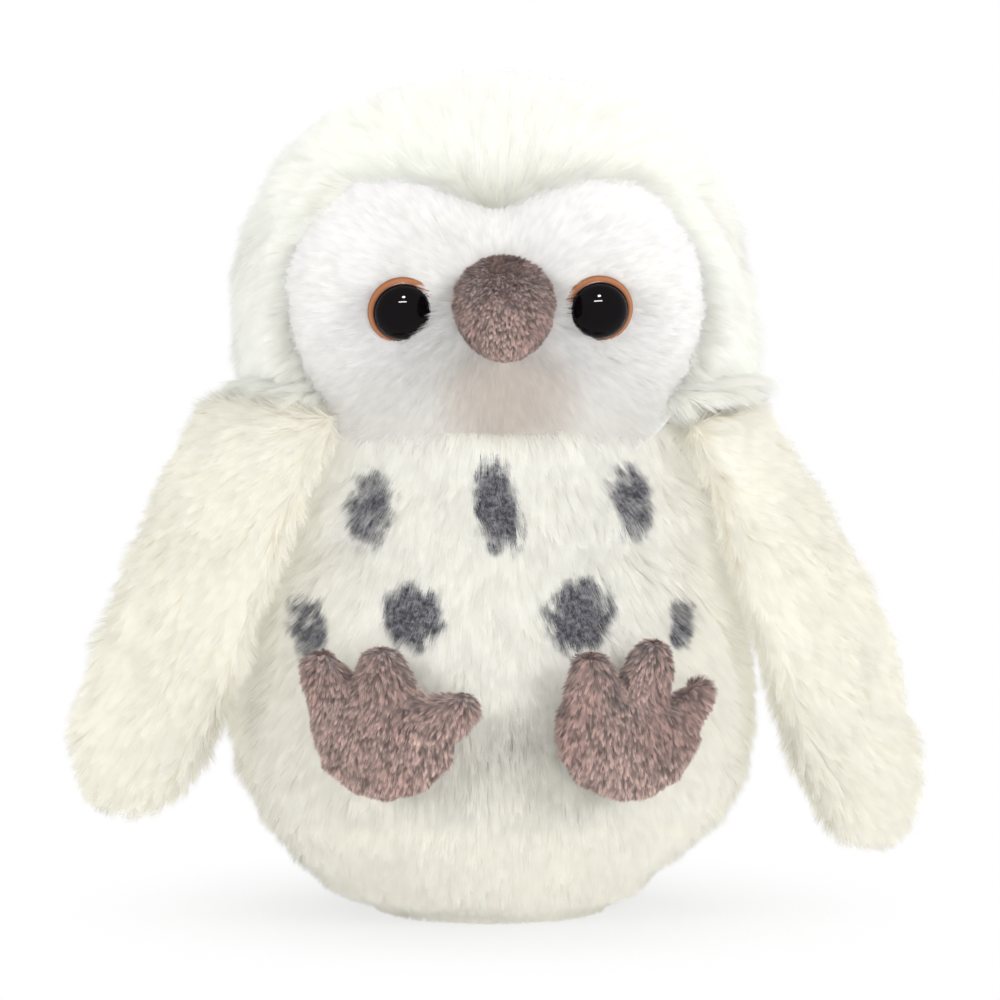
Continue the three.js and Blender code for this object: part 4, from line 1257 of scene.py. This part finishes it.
def build_world():
    """An even light all round, which is plain white where it is seen."""
    world = bpy.data.worlds.new("studio")
    bpy.context.scene.world = world
    world.use_nodes = True
    world.node_tree.nodes.clear()
    graph = Graph(world.node_tree)
    light, white = (graph.result("ShaderNodeBackground", {"Color": WHITE, "Strength": strength})
                    for strength in (WORLD_LIGHT, 1.0))
    seen = rays_of(graph, "Camera", "Glossy", "Transmission")
    mix = graph.result("ShaderNodeMixShader", {0: seen, 1: light, 2: white})
    graph.node("ShaderNodeOutputWorld", {"Surface": mix})


def hang(name, data, place, way):
    """Puts a lamp or a camera at a place, looking one way."""
    held = show(name, data)
    held.location = place
    held.rotation_euler = way.to_track_quat("-Z", "Y").to_euler()
    return held


def hang_lamp(name, place, aim, width, height, power):
    lamp = bpy.data.lights.new(name, "AREA")
    lamp.shape = "ELLIPSE" if name.startswith("round") else "RECTANGLE"
    lamp.size, lamp.size_y = width, height
    lamp.energy = power
    return hang(name, lamp, place, Vector(aim) - Vector(place))


def build_lights():
    """Soft lamps. Light soaks through real pile and thin wings, so only other cloth and the eyes shade it."""
    blockers = bpy.data.collections.new("blockers")
    for piece in bpy.data.objects:
        if piece.name.endswith(("_cloth", "_dome")) and not piece.name.startswith("wing_"):
            blockers.objects.link(piece)
    for row in LAMPS + GLINTS:
        held = hang_lamp(*row)
        held.visible_glossy = row in GLINTS
        held.visible_diffuse = row in LAMPS
        held.light_linking.blocker_collection = blockers


def build_camera():
    lens = bpy.data.cameras.new("camera")
    lens.sensor_width = SENSOR
    lens.lens = CAMERA_DISTANCE * SENSOR / (FRAME_PIXELS * PIXEL)
    across = (MIDDLE_PIXEL - AXIS_COLUMN) * PIXEL
    level = (GROUND_ROW - MIDDLE_PIXEL) * PIXEL / math.cos(CAMERA_RISE)
    target = Vector((across, 0, level)) * MM
    flat = math.cos(CAMERA_RISE)
    back = Vector((math.sin(CAMERA_TURN) * flat, -math.cos(CAMERA_TURN) * flat, math.sin(CAMERA_RISE)))
    bpy.context.scene.camera = hang("camera", lens, target + back * CAMERA_DISTANCE * MM, -back)


def build_owl():
    grow_torso(torso_skin())
    grow_head(hood_skin(), face_skin())
    grow_beak(beak_skin())
    for side in ("left", "right"):
        grow_wing(side, wing_skin(side))
        grow_foot(side, foot_skin(side))
        build_eye(side)
    bpy.data.objects.remove(STRAND)


build_camera()
build_owl()
for side in ("left", "right"):
    dress(frame["nodes"][f"lock_washer_{side}"], WASHER)
build_floor()
build_world()
build_lights()
bpy.context.scene.view_settings.view_transform = "Standard"
